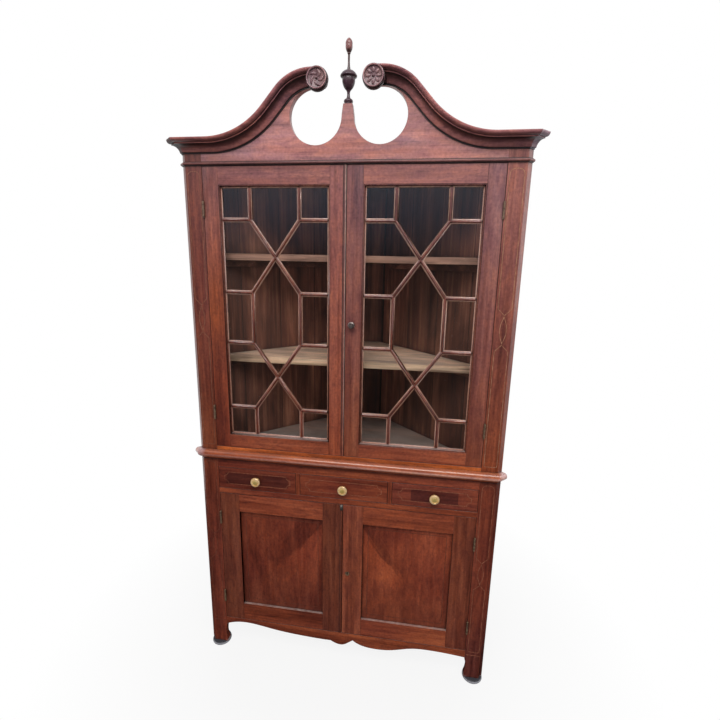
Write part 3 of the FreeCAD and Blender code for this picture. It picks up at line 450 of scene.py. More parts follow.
# Painted shade makes the wood browner low down, and painted light makes it paler at the right.
low_shade_tints = ((0.0, (1.05, 0.83, 0.72)), (1.0, (1.0, 1.0, 1.0)))
window_light_tints = ((0.0, (0.93, 0.90, 0.90)), (1.0, (1.07, 1.07, 1.05)))
print("mahogany ramps", len(mahogany_red), "stops each")

# %% Dirt, painted shade and dust
# Ambient occlusion: dirt in corners, and painted shade there too.
def corner_dirt_and_shade(tree, distance):
    """1 deep in a corner, and 0 in the open."""
    open_air = add_node(tree, "AmbientOcclusion", {"Distance": distance}, samples=4).outputs["AO"]
    return spread(tree, open_air, 0.35, 0.85, 1.0, 0.0)


def settled_dust(tree, amount):
    """Dust in patches, on what faces up."""
    patches = spread(tree, noise(tree, object_place(tree), 18.0, 6.0), 0.2, 0.8, 0.5, 1.0)
    return product(tree, spread(tree, facing_up(tree), 0.7, 0.97), amount, patches)


print("dirt and dust ready")

# %% Mahogany grain and age
# How golden and how milky a piece is at its foot and its head, where the milky bloom also paints the sheen
# of the sky, how bright it is, and its bloom and sheen at the left.
Tone = namedtuple("Tone", "warm_foot warm_head bloom_foot bloom_head shade lean", defaults=(0.5,))
# The bloom and its painted sheen are strongest at the right, where the light comes from.
bloom_and_sheen_at_right = 1.15


def mahogany_grain(tree, place, waves, wander, streaks, calm):
    """Figure, streaks and hair as one value, and then the streaks and the hair by themselves."""
    figure = fibres(tree, place, *waves, 3.0, wander)
    streak = fibres(tree, place, 90.0, 3.4, 4.0, 0.2)
    hair = fibres(tree, place, 520.0, 16.0, 2.0)
    grain = calc(tree, "MULTIPLY_ADD", streak, streaks, product(tree, figure, 0.86 - streaks))
    grain = calc(tree, "MULTIPLY_ADD", hair, 0.14, grain)
    return calc(tree, "MULTIPLY_ADD", grain, 1.0 - calm, 0.5 * calm), streak, hair


def shaded(stops, shade):
    """The stops of a ramp, all brighter or all darker."""
    return [(place, [shade * part for part in colour]) for place, colour in stops]


def sunned_wood(tree, place, grain, streak, tone, span):
    """Red wood that has gone golden in patches, and milky under its polish, more so towards a window. The
    milky bloom also paints the sheen of the sky.
    """
    uneven = calc(tree, "SUBTRACT", noise(tree, place, 2.4, 3.0), 0.5)
    warm = along(tree, "Z", *span, tone.warm_foot, tone.warm_head)
    golden_share = calc(tree, "MULTIPLY_ADD", uneven, 1.5, warm, clamp=True)
    red = ramp(tree, grain, shaded(mahogany_red, tone.shade))
    gold = ramp(tree, grain, shaded(mahogany_gold, tone.shade))
    # Painted sheen of the sky, carried by the bloom: more of it high up and at the right.
    bloom_and_sheen = product(tree, along(tree, "Z", *span, tone.bloom_foot, tone.bloom_head),
                    along(tree, "X", -0.5, 0.5, tone.lean, bloom_and_sheen_at_right))
    milky_and_sheen = calc(tree, "MULTIPLY", bloom_and_sheen, spread(tree, streak, 0.3, 0.7, 0.70, 1.30), clamp=True)
    return mix_colour(tree, milky_and_sheen, mix_colour(tree, golden_share, red, gold), bloom_and_sheen_colour)


def aged_and_lit(tree, wood, place):
    """Mottled and streaked with old polish, browner low down with painted shade, and paler at the right with
    painted light.
    """
    wood = tinted(tree, wood, ramp(tree, noise(tree, object_place(tree), 130.0, 4.0), mottle_tints))
    wood = tinted(tree, wood, ramp(tree, fibres(tree, place, 55.0, 18.0, 4.0, 0.9), patina_tints))
    wood = tinted(tree, wood, ramp(tree, along(tree, "Z", 0.7, 1.6), low_shade_tints))
    return tinted(tree, wood, ramp(tree, along(tree, "X", -0.5, 0.5), window_light_tints))


print("tones hold", Tone._fields)

# %% Mahogany finish
def mahogany(name, seed, turn, tone, span=(0.0, 2.0), frame_of=None, wander=0.35, dust=0.12, over=None,
             gloss=0.0, grime=0.8, fleck=0.45, shine=0.30, waves=(13.0, 1.3), streaks=0.38, calm=0.0):
    """Polished mahogany. frame_of gives the middle and the inner reach of a frame and the tint of its stiles,
    over is a function that works on the colour of the wood, and dust is an amount or a function."""
    material, tree, shader = new_finish(name)
    place = grain_place(tree, turn, seed)
    joint = 0.0
    if frame_of:
        place, joint, is_rail = framed_grain(tree, place, seed, *frame_of[:2])
    grain, streak, hair = mahogany_grain(tree, place, waves, wander, streaks, calm)
    wood = sunned_wood(tree, place, grain, streak, tone, span)
    if frame_of:
        wood = mix_colour(tree, is_rail, tinted(tree, wood, frame_of[2]), wood)
    if over:
        wood = over(tree, wood)
    flecks = spread(tree, fibres(tree, place, 380.0, 48.0, 2.0), 0.58, 0.72)
    wood = mix_colour(tree, product(tree, flecks, fleck), aged_and_lit(tree, wood, place), dirt_and_shade_colour)
    # Corners go dark with dirt and with painted shade, and the joint lines are real.
    dirt_and_shade = calc(tree, "MAXIMUM", product(tree, corner_dirt_and_shade(tree, 0.012), grime), joint)
    wood = mix_colour(tree, dirt_and_shade, wood, dirt_and_shade_colour)
    dusty = settled_dust(tree, dust(tree) if callable(dust) else dust)
    feed(tree, shader.inputs["Base Color"], mix_colour(tree, dusty, wood, dust_colour))
    polish = spread(tree, streak, 0.25, 0.75, 0.32 - 0.14 * gloss, 0.48 - 0.20 * gloss)
    feed(tree, shader.inputs["Roughness"], calc(tree, "MULTIPLY_ADD", dusty, 0.4, polish, clamp=True))
    relief = calc(tree, "SUBTRACT", product(tree, hair, 0.4), product(tree, flecks, 0.8))
    add_bump(tree, shader, relief, 0.22 - 0.15 * gloss, 0.0005)
    coat = max(0.0, 0.30 + 0.7 * gloss)
    settle(shader, {"Specular IOR Level": shine, "Coat Weight": coat, "Coat Roughness": 0.15})
    return material


def mahogany_for(node, seed, turn, tone, **more):
    """The finish of one CAD node, with its own height as the span from foot to head."""
    low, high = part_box(node)
    return mahogany("mahogany_" + node, seed, turn, tone, (low.z, high.z), **more)


edge_tone = Tone(0.4, 0.4, 0.02, 0.12, 0.70)
worn_edge = mahogany("mahogany_worn_edge", 31.0, upright_grain, edge_tone, dust=0.2)
print("finish", worn_edge.name)

# %% [markdown]
# ## Board wood
#
# The walls, shelves, dust boards and drawer boxes are cheap straight-grained boards, hidden from most
# eyes. Inside, they were stained brown and have gone grey and streaky with dust. Outside, against the
# room wall, they were left raw. One finish can serve both faces: a point tells which side it is on by how
# far it lies towards the room corner.

# %% Board finish
board_stain = ((0.32, (0.040, 0.013, 0.008)), (0.50, (0.130, 0.043, 0.026)), (0.70, (0.340, 0.135, 0.080)))
board_raw = ((0.28, (0.140, 0.078, 0.040)), (0.50, (0.285, 0.175, 0.098)), (0.74, (0.410, 0.275, 0.165)))
shelf_wood = ((0.34, (0.280, 0.150, 0.090)), (0.50, (0.570, 0.355, 0.240)), (0.68, (0.760, 0.520, 0.370)))
cloudy_tints = greys((0.32, 0.62), (0.50, 1.0), (0.68, 1.45))


def board(name, seed, stops, turn=upright_grain, raw_beyond=None, slanted=True, dust=0.8, over=None):
    """Dull board wood. raw_beyond is how far towards the room corner the unstained side begins, measured
    square to a slanted wall or straight back."""
    material, tree, shader = new_finish(name)
    place = grain_place(tree, turn, seed)
    broad = fibres(tree, place, 16.0, 1.3, 3.0, 0.8)
    streak = fibres(tree, place, 120.0, 4.0, 4.0, 0.3)
    saw = fibres(tree, place, 34.0, 420.0, 1.0)
    grain = calc(tree, "MULTIPLY_ADD", streak, 0.36, product(tree, broad, 0.64))
    wood = ramp(tree, grain, stops)
    if raw_beyond is not None:
        sideways = off_middle(tree, "X") if slanted else 0.0
        towards = calc(tree, "ADD", sideways, coordinate(tree, "Y"))
        outside = calc(tree, "GREATER_THAN", towards, raw_beyond)
        wood = mix_colour(tree, outside, wood, ramp(tree, grain, board_raw))
    wood = tinted(tree, wood, ramp(tree, fibres(tree, place, 9.0, 4.0, 4.0, 0.8), cloudy_tints))
    if over:
        wood = over(tree, wood)
    # Corners go dark with dirt and with painted shade.
    wood = mix_colour(tree, product(tree, corner_dirt_and_shade(tree, 0.03), 0.7), wood, dirt_and_shade_colour)
    wood = mix_colour(tree, settled_dust(tree, dust), wood, dust_colour)
    feed(tree, shader.inputs["Base Color"], wood)
    feed(tree, shader.inputs["Roughness"], spread(tree, streak, 0.2, 0.8, 0.62, 0.85))
    add_bump(tree, shader, calc(tree, "MULTIPLY_ADD", saw, 0.35, streak), 0.3, 0.0008)
    return material


print("board ramps", len(board_stain), "stops each")

# %% [markdown]
# ## Metals
#
# The knobs are polished cast brass that hands keep bright, with dark wax left in the turned grooves. The
# hinges have not been polished since they were let in, the turn catch is bronzed nearly black, and nails
# and screws are iron. All are one finish with different colours: a slow noise mixes clean and tarnished
# metal and drives the roughness, and the crevices go dark.

# %% Metal finish
def metal(name, clean, tarnished, wear, smooth, rough, lacquer=0.0, over=None):
    """Metal that goes from clean to tarnished in patches. wear is the share of clean metal, lacquer dulls its
    mirror and gives it a colour of its own, and over is a function that works on the colour."""
    material, tree, shader = new_finish(name)
    blotch = noise(tree, object_place(tree), 120.0, 5.0)
    dirt_and_shade = calc(tree, "MAXIMUM", spread(tree, blotch, wear - 0.12, wear + 0.12), corner_dirt_and_shade(tree, 0.004))
    colour = mix_colour(tree, dirt_and_shade, clean, tarnished)
    feed(tree, shader.inputs["Base Color"], over(tree, colour) if over else colour)
    feed(tree, shader.inputs["Roughness"], spread(tree, dirt_and_shade, 0.0, 1.0, smooth, rough))
    add_bump(tree, shader, noise(tree, object_place(tree), 1400.0, 2.0), 0.08, 0.0002)
    settle(shader, {"Metallic": 1.0 - lacquer})
    return material


def darker_high_up(tree, colour):
    return tinted(tree, colour, (0.68, 0.64, 0.70), along(tree, "Z", 1.30, 1.50))


dull_brass = metal("brass_tarnished", (0.29, 0.20, 0.12), (0.12, 0.072, 0.048), 0.52, 0.36, 0.60, 0.5,
                   darker_high_up)
dark_bronze = metal("bronze_dark", (0.42, 0.36, 0.34), (0.10, 0.075, 0.065), 0.48, 0.20, 0.40, 0.2)
dull_steel = metal("steel_plate", (0.27, 0.26, 0.24), (0.11, 0.10, 0.085), 0.50, 0.34, 0.55, 0.3)
iron = metal("iron_nail", (0.14, 0.12, 0.11), (0.06, 0.035, 0.022), 0.46, 0.45, 0.70)
print("metals", dull_brass.name, dark_bronze.name, dull_steel.name, iron.name)

# %% [markdown]
# ## Glass and foot cups
#
# Old panes are thin, clear and never quite flat. Real glass in a path tracer throws black shadows,
# because light rarely finds its way through two faces. So shadow rays and scattered rays pass straight
# through, and only the eye meets the glass. A faint slow bump makes the mirror images swim. The cups
# under the feet are moulded in black, with a low outer wall painted grey: scuffed by floors, and painted
# light on that wall as well.

# %% Glass
glass_tint = (0.95, 0.975, 0.965)
glass, glass_tree, glass_shader = new_finish("old_glass")
feed(glass_tree, glass_shader.inputs["Base Color"], glass_tint)
settle(glass_shader, {"Roughness": 0.02, "Transmission Weight": 1.0, "IOR": 1.5})
add_bump(glass_tree, glass_shader, noise(glass_tree, object_place(glass_tree), 9.0, 1.0), 0.06, 0.004)
glass_path = add_node(glass_tree, "LightPath").outputs
glass_passes = calc(glass_tree, "ADD", glass_path["Is Shadow Ray"], glass_path["Is Diffuse Ray"], clamp=True)
glass_clear = add_node(glass_tree, "BsdfTransparent", {"Color": glass_tint})
glass_parts = {0: glass_passes, 1: glass_shader.outputs[0], 2: glass_clear.outputs[0]}
show(glass_tree, add_node(glass_tree, "MixShader", glass_parts))
print("glass", glass.name)

# %% Foot cups
cup_black = (0.045, 0.046, 0.055)
# Grey of the scuff and of painted light on the low outer wall.
cup_scuffed_and_lit = (0.26, 0.26, 0.29)
cup_finish, cup_tree, cup_shader = new_finish("foot_cup_black")
cup_speck = noise(cup_tree, object_place(cup_tree), 220.0, 5.0)
cup_scuff_and_light = product(cup_tree, along(cup_tree, "Z", 0.0105, 0.0075),
                    spread(cup_tree, cup_speck, 0.25, 0.6, 0.5, 1.0))
feed(cup_tree, cup_shader.inputs["Base Color"], mix_colour(cup_tree, cup_scuff_and_light, cup_black, cup_scuffed_and_lit))
feed(cup_tree, cup_shader.inputs["Roughness"], spread(cup_tree, cup_speck, 0.3, 0.7, 0.38, 0.6))
print("cups", cup_finish.name)

# %% [markdown]
# ## Easing the arrises
#
# A cabinetmaker breaks every sharp edge with a shaving or two of sandpaper, and two centuries of hands do
# the rest. The CAD edges are perfectly sharp. Their loose triangles are merged into clean faces in a
# copy, and a Bevel modifier rounds each edge by half a millimetre or so. The new narrow faces take a
# second finish, that of an edge where the polish has worn through and dirt has come in. The copy then
# stands for the CAD node and moves with its body.

# %% Easing helpers
weld_distance = 0.00001
flat_angle = math.radians(0.5)
arris_angle = math.radians(38)


def finish_piece(piece, body, slot, *nodes):
    """Says what the piece moves with and which CAD nodes it stands for. slot is not used."""
    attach(piece, body)
    if nodes:
        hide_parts(*nodes)
    return piece


def smooth_faces(piece, angle=32.0):
    for face in piece.data.polygons:
        face.use_smooth = True
    piece.data.set_sharp_from_angle(angle=math.radians(angle))


def eased(node, slot, finish, edge=None, width=0.0006):
    """A copy of a CAD node in clean faces, with rounded arrises in the edge finish."""
    source = frame["nodes"][node]
    shape = bmesh.new()
    shape.from_mesh(source.data)
    bmesh.ops.remove_doubles(shape, verts=shape.verts, dist=weld_distance)
    bmesh.ops.dissolve_limit(shape, angle_limit=flat_angle, verts=shape.verts, edges=shape.edges)
    for face in shape.faces:
        face.material_index = 0
    finishes = (finish, edge) if edge else (finish,)
    piece = link_object(node + "_eased", shape, *finishes)
    smooth_faces(piece)
    if width:
        arris = piece.modifiers.new("eased_arris", "BEVEL")
        arris.width = width
        arris.segments = 2
        arris.limit_method = "ANGLE"
        arris.angle_limit = arris_angle
        arris.use_clamp_overlap = False
        arris.harden_normals = True
        arris.material = 1 if edge else -1
    return finish_piece(piece, source["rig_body"], slot, node)


print("arrises above", round(math.degrees(arris_angle)), "degrees are eased")

# %% [markdown]
# ## Mouldings
#
# A moulding catches dirt in its hollows and is rubbed on its crests, and light from above leaves the
# hollows in shade and the crests bright, so its colour follows its profile: dirt and wear, and painted
# shade and painted highlights. How far a point stands out from the front, or from the canted side on a
# return, says where on the profile it lies, and a ramp along that distance shades it. Such overlays are
# functions that the finish calls on its colour.

# %% Bands along a profile
half_front = 0.520
cornice_projection = 0.046
necking_projection = 0.008
# Painted shade in the hollows and painted highlights on the crests and the fillet, along the profile.
cornice_shade_bands = greys((0.0, 0.05), (0.10, 0.06), (0.15, 1.0), (0.22, 1.35), (0.29, 0.95), (0.38, 0.62),
                      (0.48, 0.17), (0.675, 0.06), (0.684, 1.6), (0.700, 1.6), (0.712, 0.08), (0.78, 0.10),
                      (0.83, 1.0), (1.0, 1.2))
# Painted shade and a painted highlight across the necking bead.
necking_shade_bands = greys((0.35, 0.15), (0.62, 0.22), (0.80, 0.50), (0.92, 0.75), (1.0, 0.80))


def profile_shading(projection, stops):
    """Paints shade and highlights on a moulding by how far a point stands out from the front or the sides."""
    def over(tree, wood):
        proud = calc(tree, "SUBTRACT", front, coordinate(tree, "Y"))
        beside = calc(tree, "SUBTRACT", off_middle(tree, "X"), half_front)
        beside = calc(tree, "DIVIDE", calc(tree, "ADD", beside, proud), math.sqrt(2))
        share = calc(tree, "DIVIDE", calc(tree, "MAXIMUM", proud, beside), projection)
        return tinted(tree, wood, ramp(tree, share, stops))

    return over


necking_shading = profile_shading(necking_projection, necking_shade_bands)
print("cornice bands", len(cornice_shade_bands))

# %% Cornice and its returns
rosettes_low, rosettes_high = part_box("rosettes")
scroll_radius = (rosettes_high.z - rosettes_low.z) / 2
scroll_x = rosettes_high.x - scroll_radius
scroll_z = (rosettes_low.z + rosettes_high.z) / 2
# Dark tint for grime and painted shade.
grime_tint = (0.18, 0.16, 0.18)


def from_scroll(tree):
    """How far a point is from the axis of the scroll that the rosette closes, seen from the front."""
    sideways = calc(tree, "SUBTRACT", off_middle(tree, "X"), scroll_x)
    upwards = calc(tree, "SUBTRACT", coordinate(tree, "Z"), scroll_z)
    return length(tree, add_node(tree, "CombineXYZ", {0: sideways, 1: upwards}).outputs[0])


def cornice_over(tree, wood):
    """Painted shade and highlight bands, painted shade on what faces down, and grime and painted shade on the
    disc behind the rosette.
    """
    wood = profile_shading(cornice_projection, cornice_shade_bands)(tree, wood)
    wood = tinted(tree, wood, (0.95, 0.98, 1.14))
    # Painted shade on what faces down.
    wood = tinted(tree, wood, (0.50, 0.47, 0.49), spread(tree, facing_up(tree), -0.30, -0.75))
    # Grime and painted shade on the disc behind the rosette.
    disc = spread(tree, from_scroll(tree), scroll_radius + 0.005, scroll_radius + 0.003)
    return tinted(tree, wood, grime_tint, disc)


def returns_shade_and_reflection(tree, wood):
    """The returns: painted shade darkens the left one, and a painted reflection of the sky pales the right
    one, towards the window.
    """
    wood = cornice_over(tree, wood)
    # Painted shade on the left return, and a painted reflection on the right one.
    left = tinted(tree, wood, grime_tint, 0.8)
    right = mix_colour(tree, 0.45, wood, (0.34, 0.32, 0.39))
    return mix_colour(tree, calc(tree, "GREATER_THAN", coordinate(tree, "X"), 0.0), left, right)


print("scroll radius", round(scroll_radius, 4))

# %% Waist nose
waist_low, waist_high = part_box("waist_moulding")
# Where on the height of the nose the painted highlight lies.
waist_crest_highlight = greys((0.20, 0.0), (0.34, 0.7), (0.55, 1.0), (0.68, 0.2), (0.74, 0.0))


def waist_gold_and_highlights(tree, wood):
    """The waist nose: golden on top, pale along its crest with rubbed polish and a painted highlight, more so
    towards the window, and pale at both ends with a painted reflection of the sky."""
    height = along(tree, "Z", waist_low.z, waist_high.z)
    wood = tinted(tree, wood, (0.94, 0.98, 0.70), spread(tree, height, 0.70, 0.80))
    crest_highlight = product(tree, ramp(tree, height, waist_crest_highlight), along(tree, "X", -0.50, 0.35, 0.20, 0.55))
    wood = mix_colour(tree, crest_highlight, wood, (0.86, 0.66, 0.62))
    at_right = along(tree, "X", half_front, half_front + 0.012)
    at_left = along(tree, "X", -half_front + 0.018, -half_front)
    # Painted reflection of the sky at both ends.
    end_reflections = product(tree, calc(tree, "MAXIMUM", at_left, at_right), 0.5)
    return mix_colour(tree, end_reflections, wood, (0.56, 0.50, 0.58))


def shadow_under_waist(tree, wood):
    """A painted shadow darkens the wood under the waist nose."""
    return tinted(tree, wood, (0.40, 0.36, 0.40), along(tree, "Z", waist_low.z - 0.016, waist_low.z))


print("waist from", round(waist_low.z, 3), "to", round(waist_high.z, 3))

# %% [markdown]
# ## The mahogany case
#
# Stiles stand and rails lie, so each gets its grain turned to match. The tones follow the photograph: the
# pediment and the upper stiles have faded to a pale rose, which also paints the sheen of the sky on them,
# the narrow rails have gone golden where hands and sun reach them, and the lower case has kept its deep
# red, deepened by painted shade. Tables hold all of it, so that a tone is easy to change.

# %% Uneven tones of the case
glow_tints = ((0.0, (1.0, 0.95, 0.90)), (0.5, (1.0, 0.98, 0.98)), (1.0, (0.94, 0.99, 1.03)))
cloud_tints = ((0.36, (0.90, 0.97, 1.06)), (0.50, (1.0, 1.0, 1.0)), (0.64, (1.10, 1.00, 0.90)))


def plinth_glow(tree, wood):
    """The pediment has kept a warm orange around the plinth of the finial, and is cooler further out."""
    sideways = spread(tree, off_middle(tree, "X", 0.04), 0.05, 0.40)
    wood = tinted(tree, wood, ramp(tree, sideways, glow_tints))
    clouds = fibres(tree, grain_place(tree, flat_grain, 3.0), 16.0, 4.0, 2.0, 0.5)
    return tinted(tree, wood, ramp(tree, clouds, cloud_tints))


def uneven_stiles(tree, wood):
    """Of the lower stiles, the left one gets painted light low down, and the right one is darker towards its
    foot.
    """
    low_left = product(tree, along(tree, "Z", 0.75, 0.45), along(tree, "X", 0.0, -0.4))
    right_foot = product(tree, along(tree, "Z", 0.30, 0.10), along(tree, "X", -0.4, 0.4))
    # Painted light on the lower left stile, and a darker tint towards the right foot.
    wood = tinted(tree, shadow_under_waist(tree, wood), (1.33, 1.48, 1.52), low_left)
    return tinted(tree, wood, (0.68, 0.78, 1.20), right_foot)


def dark_left_foot(tree, wood):
    """The lower left end of the upper case is darker."""
    low_left = product(tree, along(tree, "Z", 1.30, 0.90), along(tree, "X", -0.40, -0.43))
    return tinted(tree, wood, (0.60, 0.58, 0.66), low_left)


def golden(tree, wood):
    return tinted(tree, wood, (0.98, 1.05, 0.74))


print("case overlays ready")

# %% Dress the case
overlays = {
    "tympanum": plinth_glow, "lower_stiles": uneven_stiles, "upper_stiles": dark_left_foot,
    "upper_bottom_rail": golden, "drawer_top_rail": shadow_under_waist,
}
case_wood = {
    "lower_stiles": (upright_grain, Tone(0.05, 0.15, 0.00, 0.01, 0.85)),
    "apron": (flat_grain, Tone(0.25, 0.40, 0.00, 0.00, 1.00)),
    "mid_rail": (flat_grain, Tone(0.30, 0.30, 0.00, 0.00, 1.00)),
    "drawer_top_rail": (flat_grain, Tone(0.15, 0.15, 0.00, 0.00, 1.05)),
    "drawer_dividers": (upright_grain, Tone(0.30, 0.30, 0.00, 0.00, 0.95)),
    "upper_stiles": (upright_grain, Tone(0.60, 0.00, 0.00, 0.14, 0.95, 0.25)),
    "upper_bottom_rail": (flat_grain, Tone(0.95, 0.95, 0.00, 0.00, 1.85)),
    "tympanum": (flat_grain, Tone(0.35, 0.15, 0.32, 0.26, 1.10, 1.25)),
}
for seed, (node, (turn, tone)) in enumerate(case_wood.items()):
    fleck = 0.15 if node == "tympanum" else 0.45
    wood = mahogany_for(node, 1.0 + seed, turn, tone, over=overlays.get(node), fleck=fleck)
    eased(node, "mahogany", wood, worn_edge)
print("case pieces", len(case_wood))

# %% Dress the mouldings
swan_neck_tone = Tone(0.15, 0.15, 0.16, 0.16, 1.15, 0.9)
moulding_wood = {
    "waist_moulding": (Tone(0.50, 0.50, 0.02, 0.02, 1.38), waist_gold_and_highlights, {"gloss": 0.8}),
    "left_swan_neck": (swan_neck_tone, cornice_over, {"grime": 0.35}),
    "right_swan_neck": (swan_neck_tone, cornice_over, {"grime": 0.35}),
    "cornice_returns": (Tone(0.10, 0.10, 0.14, 0.14, 1.10, 0.9), returns_shade_and_reflection, {"shine": 0.05}),
    "necking_bead": (Tone(0.00, 0.00, 0.18, 0.18, 0.72, 0.9), necking_shading, {}),
}
for seed, (node, (tone, bands, special)) in enumerate(moulding_wood.items()):
    finish = {"gloss": -0.2, "dust": 0.05, "fleck": 0.2, **special}
    wood = mahogany_for(node, 14.0 + seed, flat_grain, tone, over=bands, **finish)
    eased(node, "mahogany", wood, None, 0.0003)
print("mouldings", len(moulding_wood))

# %% [markdown]
# ## Doors
#
# Each frame is morticed together from two stiles and two rails. The finish needs the middle of the door
# and the reach of the rails, and both come from the node's own box and the width of a stile. The glazing
# bars are thin sticks of the same wood, dark on their rounded crowns and pale along their shoulders,
# which lie deeper: rubbed there, and with a painted highlight as if their edges caught the light. In the
# lower doors, two leaves cut from one veneer are laid as mirror images: a dark feather runs down and out
# from the top of the meeting stiles on both, with a lighter wedge inside it. It is a slanted line made
# wavy by noise, and a ramp shades its two sides.

# %% Meeting bead and uneven stiles
stile_widths = {"upper": 0.051, "lower": 0.073}
bead_left = -0.0098
# The meeting bead's painted highlight and painted shade.
bead_highlight_grey = (0.36, 0.28, 0.25)
bead_shade_dark = (0.040, 0.022, 0.024)
bead_groove_shade = greys((0.0, 0.0), (0.08, 0.85), (0.45, 0.70), (0.66, 0.45), (0.74, 0.0))
outer_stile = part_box("upper_left_door_frame")[0].x + stile_widths["upper"]
lock_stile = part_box("lower_right_door_frame")[0].x + stile_widths["lower"]
sunned_tints = ((0.0, (1.02, 0.90, 0.84)), (0.25, (0.96, 0.78, 0.64)), (0.37, (0.88, 0.76, 0.64)),
                (0.58, (1.22, 1.03, 0.54)), (0.68, (1.24, 1.06, 0.60)), (0.79, (1.06, 0.93, 0.70)),
                (1.0, (1.0, 1.05, 1.05)))


def bead_shade_and_highlight(tree, wood):
    """The bead on the meeting edge: painted dark as shade over most of its round, and painted grey along its
    right side higher up, as a highlight and as rubbed wear."""
    across = along(tree, "X", bead_left - 0.0020, -0.0005)
    on_front = along(tree, "Y", front + 0.0015, front)
    # Painted highlight, partly rubbed wear, along the bead's right side.
    rubbed_highlight = product(tree, spread(tree, across, 0.66, 0.78), on_front, along(tree, "Z", 0.8, 1.0, 0.0, 0.75))
    wood = mix_colour(tree, rubbed_highlight, wood, bead_highlight_grey)
    # Painted shade in the groove and over the round of the bead.
    groove_shade = product(tree, ramp(tree, across, bead_groove_shade), along(tree, "Z", 0.8, 1.0, 0.5, 1.0), on_front)
    return mix_colour(tree, groove_shade, wood, bead_shade_dark)


def sunned_stile(tree, wood):
    """The outer stile of the upper left door has gone orange at half its height."""
    wood = dark_left_foot(tree, bead_shade_and_highlight(tree, wood))
    at_left = calc(tree, "LESS_THAN", coordinate(tree, "X"), outer_stile)
    return tinted(tree, wood, ramp(tree, along(tree, "Z", 0.90, 1.70), sunned_tints), at_left)


def paler_lock_stile(tree, wood):
    """The stile of the lower right door that carries the lock is paler than the outer one."""
    inner = calc(tree, "LESS_THAN", coordinate(tree, "X"), lock_stile)
    return tinted(tree, wood, (1.45, 1.55, 1.58), inner)


def ledge_dust(tree):
    """Dust that lies only low down, in patches on the ledge under each panel."""
    patches = spread(tree, noise(tree, object_place(tree), 45.0, 3.0), 0.35, 0.65, 0.45, 1.0)
    return product(tree, along(tree, "Z", 0.30, 0.40, 0.60, 0.05), patches)


print("inner edges of stiles", round(outer_stile, 4), round(lock_stile, 4))

# %% Door frames
frame_tones = {"upper": Tone(0.45, 0.05, 0.02, 0.19, 1.00, 0.8), "lower": Tone(0.30, 0.40, 0.01, 0.01, 1.05)}
stile_tints = {
    "upper_left": (1.0, 0.95, 0.94), "upper_right": (0.74, 0.80, 0.91),
    "lower_left": (0.64, 0.74, 0.90), "lower_right": (0.68, 0.73, 0.84),
}
frame_seeds = {"upper_left": 162.0, "upper_right": 165.0, "lower_left": 153.0, "lower_right": 156.0}
frame_overlays = {"upper_left": sunned_stile, "lower_left": bead_shade_and_highlight, "lower_right": paler_lock_stile}


def dress_frame(door):
    """The frame of one door, with the reach of its rails worked out from its box."""
    node = door + "_door_frame"
    level = door.split("_")[0]
    low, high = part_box(node)
    inner = ((low.x + high.x) / 2, (high.x - low.x) / 2 - stile_widths[level], stile_tints[door])
    wood = mahogany_for(node, frame_seeds[door], upright_grain, frame_tones[level], frame_of=inner,
                        dust=ledge_dust, over=frame_overlays.get(door))
    eased(node, "mahogany", wood, worn_edge)


print("door frames", len(stile_tints))

# %% Glazing bars and panes
bar_tone = Tone(0.30, 0.20, 0.03, 0.10, 0.70)
# Shoulders pale with rubbed wear and a painted highlight.
rubbed_highlight_colour = (0.58, 0.37, 0.29)
shoulder_depth = 0.0085


def refinish(node, finish):
    """Gives a CAD node that keeps its shape a new finish."""
    mesh = frame["nodes"][node].data
    mesh.materials.clear()
    mesh.materials.append(finish)


# Paints the deeper shoulders pale, as wear and as a painted highlight.
def shoulder_wear_and_highlight(tree, wood):
    deep = along(tree, "Y", front + shoulder_depth - 0.001, front + shoulder_depth, 0.0, 0.6)
    return mix_colour(tree, deep, wood, rubbed_highlight_colour)


def dress_bars(side, seed):
    bars = "upper_" + side + "_glazing_bars"
    wood = mahogany_for(bars, seed, upright_grain, bar_tone, over=shoulder_wear_and_highlight, gloss=1.0, dust=0.45)
    eased(bars, "mahogany", wood, None, 0)
    refinish("upper_" + side + "_panes", glass)


print("shoulders", 1000 * shoulder_depth, "mm deep")

# %% Feathered panels
panel_tones = {"left": Tone(0.25, 0.15, 0.00, 0.00, 0.96), "right": Tone(0.25, 0.15, 0.00, 0.00, 1.10)}
feather_shapes = {"left": (0.0, 1.0), "right": (0.014, 0.6)}
feather_slant = math.radians(37)
feather_reach = 0.14


